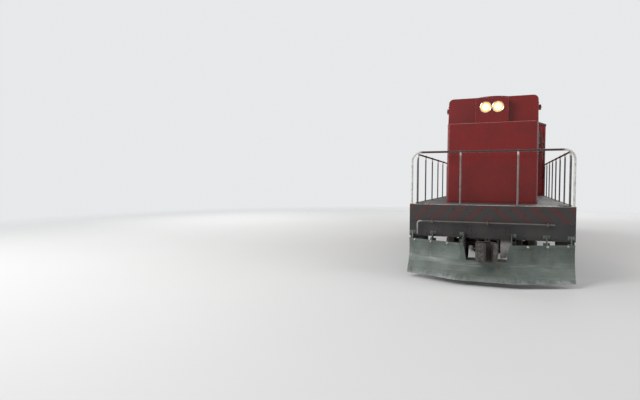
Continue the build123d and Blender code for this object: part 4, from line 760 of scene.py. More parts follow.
side_pane = ((2.420, 3.630), (2.275, 3.075))
window("cab_left_window", side_pane, (-1, 0, 0), cab_high.x, bars=1)
window("cab_right_window", side_pane, (1, 0, 0), cab_high.x, bars=1)
window("cab_front_window", ((-1.180, -0.870), (2.450, 3.135)), (0, -1, 0), -cab_front)
window("cab_rear_right_window", ((0.500, 1.080), (2.355, 3.135)), (0, 1, 0), rear_face)
window("cab_rear_left_window", ((-1.080, -0.500), (2.355, 3.135)), (0, 1, 0), rear_face)
front_span, rear_span = ((0.905, 1.147), (2.450, 3.130)), ((-0.225, 0.225), (2.355, 3.062))
front_pane = window("front_door_window", front_span, (0, -1, 0), -cab_front, "cab_front_door")
rear_pane = window("rear_door_window", rear_span, (0, 1, 0), rear_face, "cab_rear_door")
build("cab_front_door_glass", [front_pane], glass, "cab_front_door")
build("cab_rear_door_glass", [rear_pane], glass, "cab_rear_door")

# Cab fittings: rain beads over the windows, grab irons beside the doors, wipers and roof ribs.
# Bent steel bar and thin pressings, bolted or welded on from outside.
steel_black = weathered("fittings_black", "frame_black", (0.022, 0.022, 0.024), (0.050, 0.048, 0.046),
                        0.38, 0.7, 0.45, 0.2, 1.0)
(pane_start, pane_end), (pane_low, pane_high) = side_pane
bead_y = np.linspace(pane_start - 0.10, pane_end + 0.10, 13)
bead_z = pane_high + 0.050 + 0.020 * (1 - ((bead_y - bead_y.mean()) / (np.ptp(bead_y) / 2)) ** 2)
rest = (cab_high.x - 0.001, (pane_start + pane_end) / 2, pane_low - 0.040)
build("cab_rain_beads", mirrored([
    carried(at_x(cab_high.x - 0.002, np.column_stack([bead_y, bead_z])), 0.009),
    slabs(rest, (0.018, pane_end - pane_start + 0.06, 0.030), 0.006),
]), body_red)

parts = []
for x, face, way in ((1.262, cab_front, -1), (0.405, rear_face, 1), (1.225, rear_face, 1)):
    feet = grid(x, face, (deck_level + 0.55, deck_level + 1.55))
    parts.append(handle(feet, (0, way, 0), 0.062, 0.011, 12))
    parts.append(turned([(0.026, 0.0), (0.026, 0.004), (0.016, 0.007)], feet, (0, way, 0), 16))
build("cab_grab_irons", mirrored(parts), steel_black)

wiper_level = 3.11
parts = []
for x, face, way in ((-1.025, cab_front, -1), (0.79, rear_face, 1), (-0.79, rear_face, 1)):
    pivot = np.array([x, face + way * 0.004, wiper_level])
    arm = pivot + [(0, way * 0.012, 0), (-0.05, way * 0.022, -0.18), (-0.09, way * 0.012, -0.33)]
    parts += [
        turned([(0.022, 0.0), (0.022, 0.010), (0.012, 0.016)], pivot, (0, way, 0), 16),
        carried(arm, 0.0045, 8, (0, 1, 0)),
        slabs(pivot + (-0.09, way * 0.008, -0.34), (0.012, 0.012, 0.36), 0.002),
    ]
build("window_wipers", parts, rubber)

roof_low, roof_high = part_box("cab_roof")
eaves_level, roof_half_width, roof_thickness = 3.330, 1.300, 0.0105
rib_reach = roof_half_width - 0.03
roof_rise = roof_high.z - eaves_level
roof_arc = (roof_half_width ** 2 + roof_rise ** 2) / (2 * roof_rise)
arch_x = np.linspace(-rib_reach, rib_reach, 33)
arch_z = roof_high.z - roof_arc + np.sqrt(roof_arc ** 2 - arch_x ** 2) - roof_thickness
arch = carried(np.column_stack([arch_x, 0 * arch_x, arch_z]), 0.010, 10, (0, 1, 0))
rib_places = grid(0, np.linspace(roof_low.y + 0.30, roof_high.y - 0.30, 4), 0)
build("cab_roof_ribs", [repeated(arch, rib_places)], roof_dark)

# Cab inside: grey rubber floor mat, a control stand with plain gauges, levers and a brake valve.
# The stand is folded steel; its dials carry no figures.
mat = Finish("floor_mat", "deck_plate", Roughness=0.8)
worn_mat = mat.noise(4.0, 4.0).rise(0.3, 0.7)
mat.surface(mat.mix(worn_mat, (0.05, 0.052, 0.055), (0.10, 0.095, 0.09)), mat.noise(9.0) * 0.3 + 0.55)
mat.dents((mat.axes()[0] * 60.0).math("FRACT").rise(0.35, 0.65), 0.0015)
mat_size = (2 * cab_high.x - 0.14, rear_face - cab_front - 0.14, 0.008)
build("cab_floor_mat", [slabs((0.0, (cab_front + rear_face) / 2, deck_level + 0.005), mat_size, 0.002)], mat)
stand_grey = weathered("stand_enamel", "stand_paint", (0.20, 0.225, 0.22), (0.15, 0.165, 0.16), 0.34, 0.7,
                       0.3, 0.05, 0.5)
copied("control_stand", stand_grey, 0.006)
copied("cab_seats", steel_black, 0.003)
stand_low, stand_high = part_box("control_stand")
dial = Finish("gauge_face", "stand_paint", Roughness=0.25, Coat_Weight=1.0)
dial_ink = dial.noise(6.0).rise(0.45, 0.55)
dial.surface(dial.mix(dial_ink, (0.70, 0.70, 0.66), (0.62, 0.62, 0.58)), dial_ink * 0.1 + 0.2)
gauge_x = np.linspace(stand_low.x + 0.09, stand_high.x - 0.09, 4)
gauges = grid(gauge_x, stand_low.y + 0.10, stand_high.z - 0.165)
bezel = [(0.040, -0.02), (0.040, 0.012), (0.036, 0.016), (0.031, 0.012)]
build("gauge_bezels", [turned(bezel, gauges)], chrome)
build("gauge_faces", [turned([(0.031, 0.0), (0.031, 0.0125)], gauges)], dial)
knobs = Finish("lever_knobs", "stand_paint", Roughness=0.3)
knobs.surface(knobs.mix(knobs.noise(30.0).rise(0.4, 0.6), (0.35, 0.02, 0.02), (0.02, 0.02, 0.02)), 0.28)
lever_tops = grid(spread(-0.86, 0.10, 3), (stand_low.y + stand_high.y) / 2, stand_high.z - 0.022)
ball = [(0.006, -0.020), (0.014, -0.014), (0.0175, -0.004), (0.0175, 0.004), (0.014, 0.014), (0.006, 0.020)]
build("lever_knobs", [turned(ball, lever_tops, sides=20)], knobs)

# Seat cushions: foam under black leathercloth, crowned, with a piped seam and three sewn channels.
# They are strapped down on the seats' steel pans and backs.
hide = Finish("seat_leathercloth", "seat_cover", Roughness=0.5)
grain = hide.add("ShaderNodeTexVoronoi", {"Vector": hide.place, "Scale": 420.0})
crease = hide.noise(8.0, 5.0, 0.7).rise(0.4, 0.75)
hide.surface(hide.mix(crease, (0.030, 0.026, 0.024), (0.075, 0.062, 0.052)), crease * 0.2 + 0.38)
hide.dents(grain * 0.5 + crease, 0.0007)
cushion_steps = 40


def cushion(low, high, soft):
    """A stuffed pad in a box: a sphere's directions raised to the 0.28 power fill the box's form, the
    two large faces along the soft axis are crowned by a cosine, and sewn channels press in as narrow
    bell curves."""
    tilt = np.linspace(-np.pi / 2, np.pi / 2, cushion_steps)
    turn = np.linspace(0, 2 * np.pi, 2 * cushion_steps + 1)[:-1]
    tilt, turn = np.meshgrid(tilt, turn, indexing="ij")
    waves = [np.cos(tilt), np.sin(tilt), np.cos(turn), np.sin(turn)]
    level, up, first, second = (np.sign(wave) * np.abs(wave) ** 0.28 for wave in waves)
    unit = np.clip(np.stack([level * first, level * second, up], -1), -1, 1)
    along, across = [axis for axis in range(3) if axis != soft]
    crown = np.cos(unit[..., along] * np.pi / 2) * np.cos(unit[..., across] * np.pi / 2)
    channel = sum(np.exp(-((unit[..., along] - place) / 0.035) ** 2) for place in (-0.5, 0.0, 0.5))
    unit[..., soft] *= 0.72 + 0.28 * crown ** 0.5 - 0.10 * channel
    unit[..., along] *= 1 - 0.045 * np.cos(unit[..., across] * np.pi / 2)
    low, high = np.array(low), np.array(high)
    return loops((low + high) / 2 + unit * (high - low) / 2)


cushion_low, cushion_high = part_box("seat_cushions")
cushion_depth = 0.090
pad_half_width = 0.218
back_front = cushion_high.y - cushion_depth
parts = []
for x in (-0.850, 0.850):
    left, right = x - pad_half_width, x + pad_half_width
    parts.append(cushion((left, cushion_low.y + 0.002, cushion_low.z + 0.001),
                         (right, back_front - 0.002, cushion_low.z + cushion_depth), 2))
    parts.append(cushion((left, back_front + 0.001, cushion_low.z + 0.002),
                         (right, cushion_high.y - 0.001, cushion_high.z - 0.002), 1))
pads = build("seat_pads", parts, hide, smooth=60.0)
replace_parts(pads, "seat_cushions")

# Underframe: two welded centre sills under a top plate, with bolsters and cross bearers, side sills and
# end sills. Black chassis paint, rusting along the weld beads and grey with road dirt below.
chassis_black = weathered("chassis_black", "frame_black", (0.020, 0.020, 0.022), (0.045, 0.042, 0.040),
                          0.45, 0.6, 0.60, 0.35, 1.5)
for node in ("underframe", "side_sills"):
    copied(node, chassis_black, 0.004)
sill_low, sill_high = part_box("side_sills")
rib_pitch = 0.568
rib_ys = np.arange(sill_low.y + 0.30, sill_high.y - 0.2, rib_pitch)
ribs = grid(sill_high.x + 0.003, rib_ys, (sill_low.z + sill_high.z) / 2)
rivet_ys, rivet_zs = [*(rib_ys + 0.10), *(rib_ys + 0.47)], (sill_low.z + 0.04, sill_high.z - 0.04)
weld_ys = np.linspace(sill_low.y + 0.02, sill_high.y - 0.02, 3)
rivet = [(0.014, -0.001), (0.013, 0.004), (0.009, 0.007), (0.003, 0.008)]
parts = [
    slabs(ribs, (0.008, 0.014, sill_high.z - sill_low.z - 0.024), 0.002),
    turned(rivet, grid(sill_high.x, rivet_ys, rivet_zs), (1, 0, 0), 10),
]
for z in (sill_low.z + 0.008, sill_high.z - 0.010):
    parts.append(carried(grid(sill_high.x + 0.0005, weld_ys, z), 0.005, 8))
build("side_sill_ribs", mirrored(parts), chassis_black)

# Brake and air pipes: steel pipe clipped under the frame from end to end, with unions at the bolsters.
pipe_grime = weathered("pipe_grime", "frame_black", (0.060, 0.052, 0.046), (0.095, 0.065, 0.045), 0.6,
                       0.4, 0.7, 0.6, 1.6)
pipe_runs = ((-4.95, -2.93), (-2.37, -1.20), (-1.04, -0.08), (0.08, 1.04), (1.20, 2.37), (2.93, 4.95))
parts = []
for x, z, radius in ((0.392, 1.055, 0.017), (0.405, 1.115, 0.011)):
    for start, end in pipe_runs:
        unions = grid(x, (start + 0.05, end - 0.05), z)
        parts.append(carried(grid(x, np.linspace(start, end, 3), z), radius))
        parts.append(turned([(radius * 1.7, -0.018), (radius * 1.7, 0.018)], unions, (0, 1, 0), 6))
build("air_pipes", mirrored(parts), pipe_grime)

# Deck: a chequered steel plate walked grey along its middle, with a painted nosing round the edge.
# It is welded to the sills; the raised pattern is two slanting lozenges side by side.
tread = Finish("chequer_plate", "deck_plate", Roughness=0.5)
tread_x, tread_y, _ = tread.axes()
lozenge_pitch = 0.030
slant, counter = (tread_x + tread_y) / lozenge_pitch, (tread_x - tread_y) / lozenge_pitch
first, second = slant.math("FRACT") - 0.5, counter.math("FRACT") - 0.5
other_way = (slant.math("FLOOR") + counter.math("FLOOR")).math("PINGPONG", 1.0)
one_lozenge = (first * first) * 5.2 + (second * second) * 42.0
other_lozenge = (first * first) * 42.0 + (second * second) * 5.2
lozenge = (one_lozenge * other_way + other_lozenge * (1 - other_way)).rise(1.0, 0.45)
lozenge = lozenge * abs(tread.facing(2)).rise(0.7, 0.9)
footpath = tread.noise(1.6, 5.0, 0.6).rise(0.35, 0.75)
tread_rust = tread.noise(7.0, 6.0, 0.7).rise(0.58, 0.72)
rubbed = lozenge * footpath
colour = tread.mix(footpath, (0.036, 0.036, 0.037), (0.090, 0.086, 0.080),
                   (tread_rust * 0.6, (0.115, 0.055, 0.030)), (rubbed * 0.75, (0.30, 0.29, 0.28)))
tread.surface(colour, 0.62 - rubbed * 0.28 + tread_rust * 0.2, rubbed * 0.7)
tread.dents(lozenge + tread.noise(120.0) * 0.12, 0.0017)
copied("deck", tread, 0.0015)
nosing_paint = weathered("nosing_paint", "deck_plate", (0.62, 0.60, 0.55), (0.42, 0.39, 0.35), 0.4, 1.3,
                         0.55, 0.4, 1.5)
deck_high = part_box("deck")[1]
well_start, well_end = sill_high.y + 0.014, deck_high.y - 0.060
well_middle, well_length, well_depth = (well_start + well_end) / 2, well_end - well_start, 0.230
nosing = 0.009
nosing_level = deck_level + 0.001
outer_x = deck_high.x - nosing / 2
corners = grid(outer_x - well_depth, spread(0.0, well_middle), nosing_level)
end_edges = grid(0.0, spread(0.0, deck_high.y - nosing / 2), nosing_level)
build("deck_nosing", [
    *mirrored([slabs((outer_x, 0.0, nosing_level), (nosing, 2 * well_start - 0.004, 0.010), 0.002),
               slabs(corners, (nosing, well_length, 0.010), 0.002)]),
    slabs(end_edges, (2 * deck_high.x - 0.004, nosing, 0.010), 0.002),
], nosing_paint)

# Corner steps: three treads in a welded plate well at each corner, with punched grip plates and a pale
# edge that shows in the dark.
copied("corner_steps", chassis_black, 0.003)
step_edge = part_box("corner_steps")[1].x
step_middle = step_edge - 0.110
step_run = well_length - 0.045
tooth = [(0.010, -0.004), (0.009, 0.001), (0.005, 0.002)]
grips, edges = [], []
for end in (-1, 1):
    step_y = end * well_middle
    teeth_ys = spread(step_y, step_run / 2 - 0.03, 14)
    for top in (0.399, 0.679, 0.959):
        rows = grid(spread(step_middle, 0.075, 5), step_y, top + 0.002)
        teeth = grid(spread(step_middle, 0.056, 4), teeth_ys, top + 0.003)
        grips += [slabs(rows, (0.010, step_run - 0.03, 0.006), 0.002), turned(tooth, teeth, sides=8)]
        edges.append(slabs((step_edge - 0.001, step_y, top - 0.007), (0.006, step_run, 0.016), 0.002))
build("step_grips", mirrored(grips), steel_black)
build("step_edges", mirrored(edges), nosing_paint)

# End sills: full-width buffer plates under the deck, in dark red and black slanting warning bands that
# have faded until they barely show, with the rod that lifts the coupler's lock in its brackets.
band_pitch = 0.290
sill_middle, sill_half = 1.1, 0.124
warning = Finish("warning_bands", "frame_black", Roughness=0.5)
band_x, band_y, band_z = warning.axes()
band = abs(((abs(band_x) + band_z) / band_pitch).math("FRACT") - 0.5).rise(0.235, 0.265)
on_plate = abs(band_y).rise(5.090, 5.0985) * band_z.rise(0.925, 0.935)
on_plate = on_plate * (1 - abs(band_z - sill_middle).rise(sill_half - 0.0005, sill_half + 0.0005))
scuffed = warning.noise(6.0, 6.0, 0.68).rise(0.30, 0.62)
edge = warning.edges(0.007) * warning.noise(24.0, 4.0, 0.7).rise(0.42, 0.6)
end_rust = warning.noise(12.0, 5.0, 0.7, (1.0, 1.0, 0.4)).rise(0.60, 0.74)
grime = (1 - band_z).rise(0.0, 0.75) * warning.noise(4.0, 5.0).rise(0.25, 0.75)
rod = abs(band_y).rise(5.160, 5.164) * band_z.rise(0.69, 0.70)
banded = warning.mix(band, (0.062, 0.016, 0.015), (0.030, 0.026, 0.025))
rod_colour = warning.mix((band_x * band_y).rise(5.50, 5.68), (0.135, 0.125, 0.115), (0.46, 0.45, 0.42),
                         (scuffed * 0.7, (0.10, 0.085, 0.075)))
colour = warning.mix(warning.noise(2.2, 4.0).rise(0.35, 0.7), (0.021, 0.020, 0.021), (0.046, 0.042, 0.040),
                     (on_plate * (0.55 + scuffed * 0.40), banded), (grime * 0.6, road_dirt),
                     (end_rust * 0.35, rust), (rod, rod_colour), (edge * 0.7 * (1 - rod), bare_steel))
warning.surface(colour, 0.42 + scuffed * 0.14 + grime * 0.2 + end_rust * 0.2, edge * 0.5)
warning.dents(scuffed * 0.6 + warning.noise(140.0) * 0.12, 0.0006)
for node in ("front_end_sill", "rear_end_sill"):
    copied(node, warning, 0.003)
rivet = [(0.016, -0.001), (0.015, 0.004), (0.010, 0.008), (0.003, 0.0095)]
rivet_reach, rivet_low, rivet_pitch = 1.24, 0.733, 0.235
ring = frame_places((-rivet_reach, rivet_low), (rivet_reach, deck_level - 0.06), rivet_pitch)
ring = ring[(ring[:, 1] > 0.8) | (np.abs(ring[:, 0]) > 0.42)]
draft_bolt_xs, draft_bolt_zs = (-0.335, -0.265, 0.265, 0.335), (0.745, 0.81, 0.875)
parts = []
for end in (-1, 1):
    face = end * deck_high.y
    parts.append(turned(rivet, [(x, face, z) for x, z in ring], (0, end, 0), 12))
    parts.append(bolts(grid(draft_bolt_xs, face, draft_bolt_zs), (0, end, 0), 0.014, 0.012))
build("end_sill_rivets", parts, warning)

# Snow plough: 16 mm plate rolled to a curve, set in three facets and welded to six ribs. Grey-green
# paint is scoured to bare steel along toe and lip, where bolted wear bars stiffen the edges.
blade_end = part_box("snow_plough")[1].x
flat_half, flat_line, outer_line = 0.400, -5.560, -5.140
toe_level, toe_reach = 0.075, 0.190
crease_level, crease_reach = 0.285, 0.045
middle_level = 0.465
lip_level, lip_reach = 0.645, 0.015
notch_half_top = 0.350
wing_slope = (outer_line - flat_line) / (blade_end - flat_half)
wing_turn = math.atan(wing_slope)
wing_stretch = math.hypot(1.0, wing_slope)
bow_curve = (crease_reach + lip_reach) / (2 * (lip_level - middle_level) ** 2)
bow_slope = (lip_reach - crease_reach) / (2 * (lip_level - middle_level))
plough_green = Finish("plough_paint", "plough_steel", Coat_Roughness=0.3)
blade_z = plough_green.axes()[2]
tone = plough_green.noise(2.6, 5.0, 0.6).rise(0.32, 0.70)
ripple = plough_green.noise(6.0, 4.0, 0.6, (0.35, 1.0, 7.0))
low_scour = ripple.rise(0.50, 0.74) * blade_z.rise(0.60, 0.32)
# A paler, partly metallic band just above the crease is a painted highlight where the bent plate catches
# light. It is mixed in with the real scour at the toe, the lip and the edges.
crease_glint = (1 - abs(blade_z - crease_level - 0.045) / 0.065).rise(0.0, 1.0) * ripple.rise(0.34, 0.60)
toe_patches = plough_green.noise(9.0, 5.0, 0.7).rise(0.36, 0.58)
toe_wear = blade_z.rise(toe_level + 0.095, toe_level + 0.010) * toe_patches
worn_edge = plough_green.edges(0.010) * plough_green.noise(16.0, 5.0, 0.7).rise(0.36, 0.52)
scraped_and_crease_highlight = (low_scour * 0.45 + crease_glint * 0.35 + toe_wear * 0.8 + worn_edge).least(1.0)
plough_rust = plough_green.noise(8.0, 6.0, 0.72, (1.0, 1.0, 0.5)).rise(0.58, 0.70) * 0.75
smudge = plough_green.noise(3.0, 5.0, 0.7).rise(0.50, 0.78)
colour = plough_green.mix(tone, (0.120, 0.150, 0.132), (0.072, 0.090, 0.078),
                          (plough_rust, (0.115, 0.052, 0.026)), (scraped_and_crease_highlight * 0.62, (0.30, 0.31, 0.30)),
                          (smudge * 0.45, road_dirt))
plough_green.surface(colour, 0.48 - scraped_and_crease_highlight * 0.14 + plough_rust * 0.3 + smudge * 0.15, scraped_and_crease_highlight * 0.5)
plough_green.dents(ripple * 0.7 + plough_green.noise(150.0) * 0.10, 0.0012)
copied("snow_plough", plough_green, 0.003, 25.0)


def blade_face(level):
    """How far the blade's face reaches forward of its line at a level: straight down the toe plate,
    and above the crease a parabola through the crease, the middle and the lip."""
    rise = level - middle_level
    if level < crease_level:
        return crease_reach + (toe_reach - crease_reach) * (crease_level - level) / (crease_level - toe_level)
    return bow_curve * rise ** 2 + bow_slope * rise


def blade_point(x, level, proud):
    """Points proud of the blade's face: the face is the rearmost of three planes, one straight across
    and two running back from the bends by the wings' slope, each moved forward square to itself."""
    x = np.asarray(x, float)
    reach = blade_face(level) + proud
    wing = flat_line + wing_slope * (np.abs(x) - flat_half) - reach * wing_stretch
    return np.stack([x, np.maximum(flat_line - reach, wing), np.full_like(x, level)], -1)


def blade_strip(inner, outer, lower, upper, proud, side=1):
    """A bar on the blade between two levels. Each end is a plain distance and so many times the bend's
    distance from the middle, which grows with reach times the tangent of half the wing's turn."""
    corners = []
    for level, height in ((lower, -0.001), (lower, proud), (upper, proud), (upper, -0.001)):
        bend = flat_half + (blade_face(level) + height) * math.tan(wing_turn / 2)
        ends = [plain + share * bend for plain, share in (inner, outer)]
        corners.append(blade_point(side * np.array(ends), level, height))
    return loops(np.stack(corners, 1))


def blade_normal(facet):
    """The way the toe plate looks on the left wing (-1), the middle (0) or the right wing (1)."""
    slope = np.array([crease_level - toe_level, toe_reach - crease_reach])
    forward, up = slope / np.linalg.norm(slope)
    return np.array([np.sin(facet * wing_turn) * forward, -np.cos(facet * wing_turn) * forward, up])


bar_gap = 0.004
bar_low, bar_high, bar_proud = toe_level + 0.004, toe_level + 0.088, 0.008
lip_low, lip_top, lip_proud = lip_level - 0.044, lip_level - 0.002, 0.010
wear_bolt = [(0.016, -0.002), (0.016, 0.005), (0.010, 0.009), (0.003, 0.010)]
parts = [blade_strip((bar_gap, -1), (-bar_gap, 1), bar_low, bar_high, bar_proud)]
for facet, low_x, high_x, count in ((-1, -1.225, -0.505, 6), (0, -0.360, 0.360, 5), (1, 0.505, 1.225, 6)):
    heads = blade_point(np.linspace(low_x, high_x, count), (bar_low + bar_high) / 2, bar_proud)
    parts.append(turned(wear_bolt, heads, blade_normal(facet), 12))
for side in (-1, 1):
    wing = ((bar_gap, 1), (blade_end - bar_gap, 0))
    parts.append(blade_strip(*wing, bar_low, bar_high, bar_proud, side))
    parts.append(blade_strip(*wing, lip_low, lip_top, lip_proud, side))
    parts.append(blade_strip((notch_half_top + 0.006, 0), (-bar_gap, 1), lip_low, lip_top, lip_proud, side))
build("plough_wear_bars", parts, plough_green)

# Bright fittings: zinc-plated lip bolts over the outer ribs, and a plated bracket plate for the
# brake pipe that hangs from the front end sill beside the coupler.
zinc = Finish("zinc_plate", "plough_steel", Metallic=0.55)
_, zinc_y, zinc_z = zinc.axes()
spangle = zinc.add("ShaderNodeTexVoronoi", {"Vector": zinc.place, "Scale": 42.0}, "Distance")
zinc_stain = zinc.noise(11.0, 5.0, 0.7).rise(0.45, 0.72)
# The bracket's upper part, from about 0.6 m up, is painted near black: painted shade.
bracket_top_shade = zinc_z.rise(0.575, 0.680) * zinc_y.rise(-5.20, -5.12)
colour = zinc.mix(zinc_stain, (0.46, 0.44, 0.41), (0.22, 0.19, 0.16), (bracket_top_shade * 0.93, (0.030, 0.027, 0.025)))
zinc.surface(colour, spangle * 0.25 + 0.34 + zinc_stain * 0.2)
zinc.dents(zinc.noise(40.0), 0.0005)
lip_bolt = [(0.019, -0.002), (0.019, 0.006), (0.015, 0.008), (0.015, 0.024), (0.011, 0.028)]
heads = blade_point([0.600, 0.885, 1.180], (lip_low + lip_top) / 2, lip_proud)
parts = mirrored([turned(lip_bolt, heads, blade_normal(1) * (1, 1, 0), 12)])
sill_face = -deck_high.y
bracket_front = sill_face - 0.008
outline = [(0.205, 0.735), (0.372, 0.735), (0.372, 0.430), (0.360, 0.418), (0.218, 0.362), (0.205, 0.370)]
plate = np.array([[(x, y, z) for x, z in outline] for y in (sill_face - 0.001, bracket_front)])
parts += [
    loops(plate),
    carried(np.linspace(plate[1, 3], plate[1, 4], 3), 0.009, 10, (0, 1, 0)),
    bolts(grid((0.235, 0.288, 0.342), bracket_front, 0.712), (0, -1, 0), 0.011, 0.009),
]
build("pipe_bracket", parts, zinc)

# Rib heels: welded pads with two or four bolts each that fix the plough's ribs to the end sill's face.
rib_pads = ((0.415, 0.060, (0.0,)), (0.888, 0.100, (-0.032, 0.032)), (1.238, 0.100, (-0.032, 0.032)))
pad_levels = (0.625, 0.745)
parts = []
for pad_x, pad_width, bolt_shifts in rib_pads:
    heads = grid(np.add(pad_x, bolt_shifts), sill_face - 0.009, pad_levels)
    parts.append(slabs(grid(pad_x, sill_face - 0.004, pad_levels), (pad_width, 0.010, 0.060), 0.002))
    parts.append(bolts(heads, (0, -1, 0), 0.011, 0.009))
build("plough_rib_pads", mirrored(parts), plough_green)

# Handrails: bent steel pipe over ball-topped stanchions on bolted foot plates. Corner posts are white,
# stanchions a pale worn grey, and the top rails the dark red of the hood. A pale band at the ball tips is a
# painted highlight, and the side rails' grey is darkened to 0.45 as painted shade.
rail_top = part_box("front_handrail")[1].z
# The side rails' factor of 0.45 darkens their grey as painted shade.
for node, shade in (("front_handrail", 1.0), ("rear_handrail", 1.0), ("side_handrails", 0.45)):
    rails = Finish(f"{node}_paint", "handrail_paint", Coat_Weight=0.25, Coat_Roughness=0.3)
    rail_x, _, rail_z = rails.axes()
    patchy = rails.noise(14.0, 5.0, 0.7).rise(0.42, 0.62)
    chipped = rails.noise(30.0, 6.0, 0.75).rise(0.62, 0.68)
    tip_highlight = rails.mix(patchy, (0.60, 0.59, 0.56), (0.44, 0.42, 0.39))
    dark = rails.mix(patchy, (0.060, 0.010, 0.009), (0.034, 0.014, 0.012))
    # The pale band just under the top rail is a painted highlight on the ball tips.
    layers = [(rail_z.rise(rail_top - 0.105, rail_top - 0.075), tip_highlight),
              (rail_z.rise(rail_top - 0.043, rail_top - 0.037), dark)]
    if node != "side_handrails":
        white = rails.mix(patchy, (0.66, 0.65, 0.61), (0.46, 0.45, 0.42))
        layers.append((abs(rail_x).rise(1.085, 1.150), white))
    layers.append((chipped * 0.6, (0.095, 0.050, 0.032)))
    grey, worn_grey = shade * np.array([(0.20, 0.19, 0.18), (0.12, 0.11, 0.10)])
    colour = rails.mix(patchy, grey, worn_grey, *layers)
    rails.surface(colour, 0.34 + patchy * 0.12 + chipped * 0.3)
    rails.dents(rails.noise(60.0) + chipped * -2.0, 0.0004)
    copied(node, rails, 0.0015, 20.0)

# Trucks: cast steel side frames with lipped edges, a cast bolster, side bearers and hung brake shoes.
# Everything is black iron gone brown with brake dust; the air cylinder and its rods lie outside.
ends = (("front", -1), ("rear", 1))
truck_middle, axle_reach, axle_level = 2.650, 1.000, 0.444
beam_face, beam_low, beam_top, beam_half_length = 0.760, 0.700, 0.860, 1.500
pedestal_inner, pedestal_outer, pedestal_foot = 0.1105, 0.1955, 0.314
journal_x = 0.7125
lip, lip_thickness = 0.016, 0.013
truck_iron = weathered("truck_iron", "truck_iron", (0.030, 0.028, 0.027), (0.070, 0.052, 0.040), 0.55,
                       0.7, 0.75, 0.75, 1.1)


def flat_bar(path, x_low, x_high, thickness):
    """A flat bar bent along a path of (y, z) points: its section spans two distances across the width,
    and runs from the path to a thickness on the left of it, square to the path's own direction."""
    path = np.asarray(path, float)
    run = np.gradient(path, axis=0)
    run /= np.linalg.norm(run, axis=1)[:, None]
    inner = path + thickness * np.stack([-run[:, 1], run[:, 0]], -1)
    corners = [(x_low, path), (x_high, path), (x_high, inner), (x_low, inner)]
    return loops(np.stack([at_x(x, line) for x, line in corners], 1))


def ring_places(x, y, z, radius, count, start):
    """Places evenly round a circle that faces across the locomotive."""
    return (x, y, z) + radius * circle((0, 1, 0), (0, 0, 1), count, start)


leg_gap = pedestal_outer + 0.001
lower_runs = ((-beam_half_length, -axle_reach - leg_gap), (-axle_reach + leg_gap, axle_reach - leg_gap),
              (axle_reach + leg_gap, beam_half_length))
cylinder_level = (beam_low + beam_top) / 2
rod_x, rod_z = beam_face + 0.034, cylinder_level + 0.010
cylinder_cap = [(0.101, -0.014), (0.101, 0.006), (0.080, 0.016), (0.034, 0.022), (0.034, 0.044),
                (0.018, 0.048)]
bearer = [(0.085, 0.0), (0.085, 0.020), (0.066, 0.026), (0.066, 0.066), (0.060, 0.072)]
for end_name, end in ends:
    middle = end * truck_middle
    middle_line = np.array([(middle, 0.0)])
    copied(f"{end_name}_truck_frame", truck_iron, 0.005)
    corners = middle_line + [(-beam_half_length, beam_low), (-beam_half_length, beam_top),
                             (beam_half_length, beam_top), (beam_half_length, beam_low)]
    paths = [rounded_path(corners, 0.110, 6)[::-1]]
    for start, stop in lower_runs:
        paths.append(grid(middle + np.linspace(start, stop, 3), beam_low))
    parts = [flat_bar(path, beam_face - 0.001, beam_face + lip, lip_thickness) for path in paths]
    for axle_y in (middle - axle_reach, middle + axle_reach):
        foot_bar = (journal_x, axle_y, pedestal_foot - 0.014)
        parts.append(slabs(foot_bar, (0.050, 2 * pedestal_inner + 0.03, 0.022), 0.004))
        for leg in (-1, 1):
            leg_y = axle_y + leg * (pedestal_inner + pedestal_outer) / 2
            web = (beam_face + 0.004, leg_y, (pedestal_foot + beam_low) / 2)
            tie = (journal_x, axle_y + leg * (pedestal_outer - 0.045), pedestal_foot - 0.016)
            tie_bolts = grid((0.690, 0.735), leg_y, pedestal_foot - 0.031)
            parts += [
                slabs(web, (0.010, 0.030, beam_low - pedestal_foot - 0.06), 0.003),
                slabs(tie, (0.080, 0.075, 0.030), 0.004),
                bolts(tie_bolts, (0, 0, -1), 0.013, 0.014),
            ]
    for way in (-1, 1):
        cap_y, fork_y, pin_y = (middle + way * reach for reach in (0.130, 1.425, 1.445))
        cap_bolts = 0.091 * circle((1, 0, 0), (0, 0, 1), 8, 0.2)
        cap_bolts += (beam_face, cap_y + way * 0.006, cylinder_level)
        rod = grid(rod_x, middle + way * np.array([0.15, 0.80, 1.425]), rod_z)
        guides = grid(beam_face + 0.026, middle + way * np.array([0.45, 1.02]), rod_z)
        pins = grid(rod_x - 0.022, pin_y, (rod_z, cylinder_level - 0.130))
        parts += [
            turned(cylinder_cap, (beam_face, cap_y, cylinder_level), (0, way, 0), 28),
            bolts(cap_bolts[cap_bolts[:, 0] > beam_face + 0.012], (0, way, 0), 0.009, 0.008),
            carried(rod, 0.013),
            slabs(grid(spread(rod_x, 0.018), fork_y, rod_z), (0.008, 0.110, 0.046), 0.003),
            slabs((rod_x, pin_y, cylinder_level - 0.055), (0.016, 0.044, 0.200), 0.004),
            turned([(0.012, 0.0), (0.012, 0.044)], pins, (1, 0, 0), 12),
            slabs(guides, (0.054, 0.014, 0.052), 0.003),
        ]
    parts.append(turned(bearer, (0.500, middle, beam_top)))
    for grip_y in (middle - 0.55, middle + 0.55):
        feet = grid(beam_face, spread(grip_y, 0.09), beam_top - 0.055)
        parts.append(handle(feet, (1, 0, 0), 0.050, 0.009))
    build(f"{end_name}_truck_fittings", mirrored(parts), truck_iron, f"{end_name}_truck")
upper_bearer = [(0.078, -0.062), (0.078, -0.040), (0.110, -0.034), (0.110, 0.001)]
upper_places = grid(spread(0.0, 0.500), spread(0.0, truck_middle), 1.014)
build("side_bearer_plates", [turned(upper_bearer, upper_places)], chassis_black)

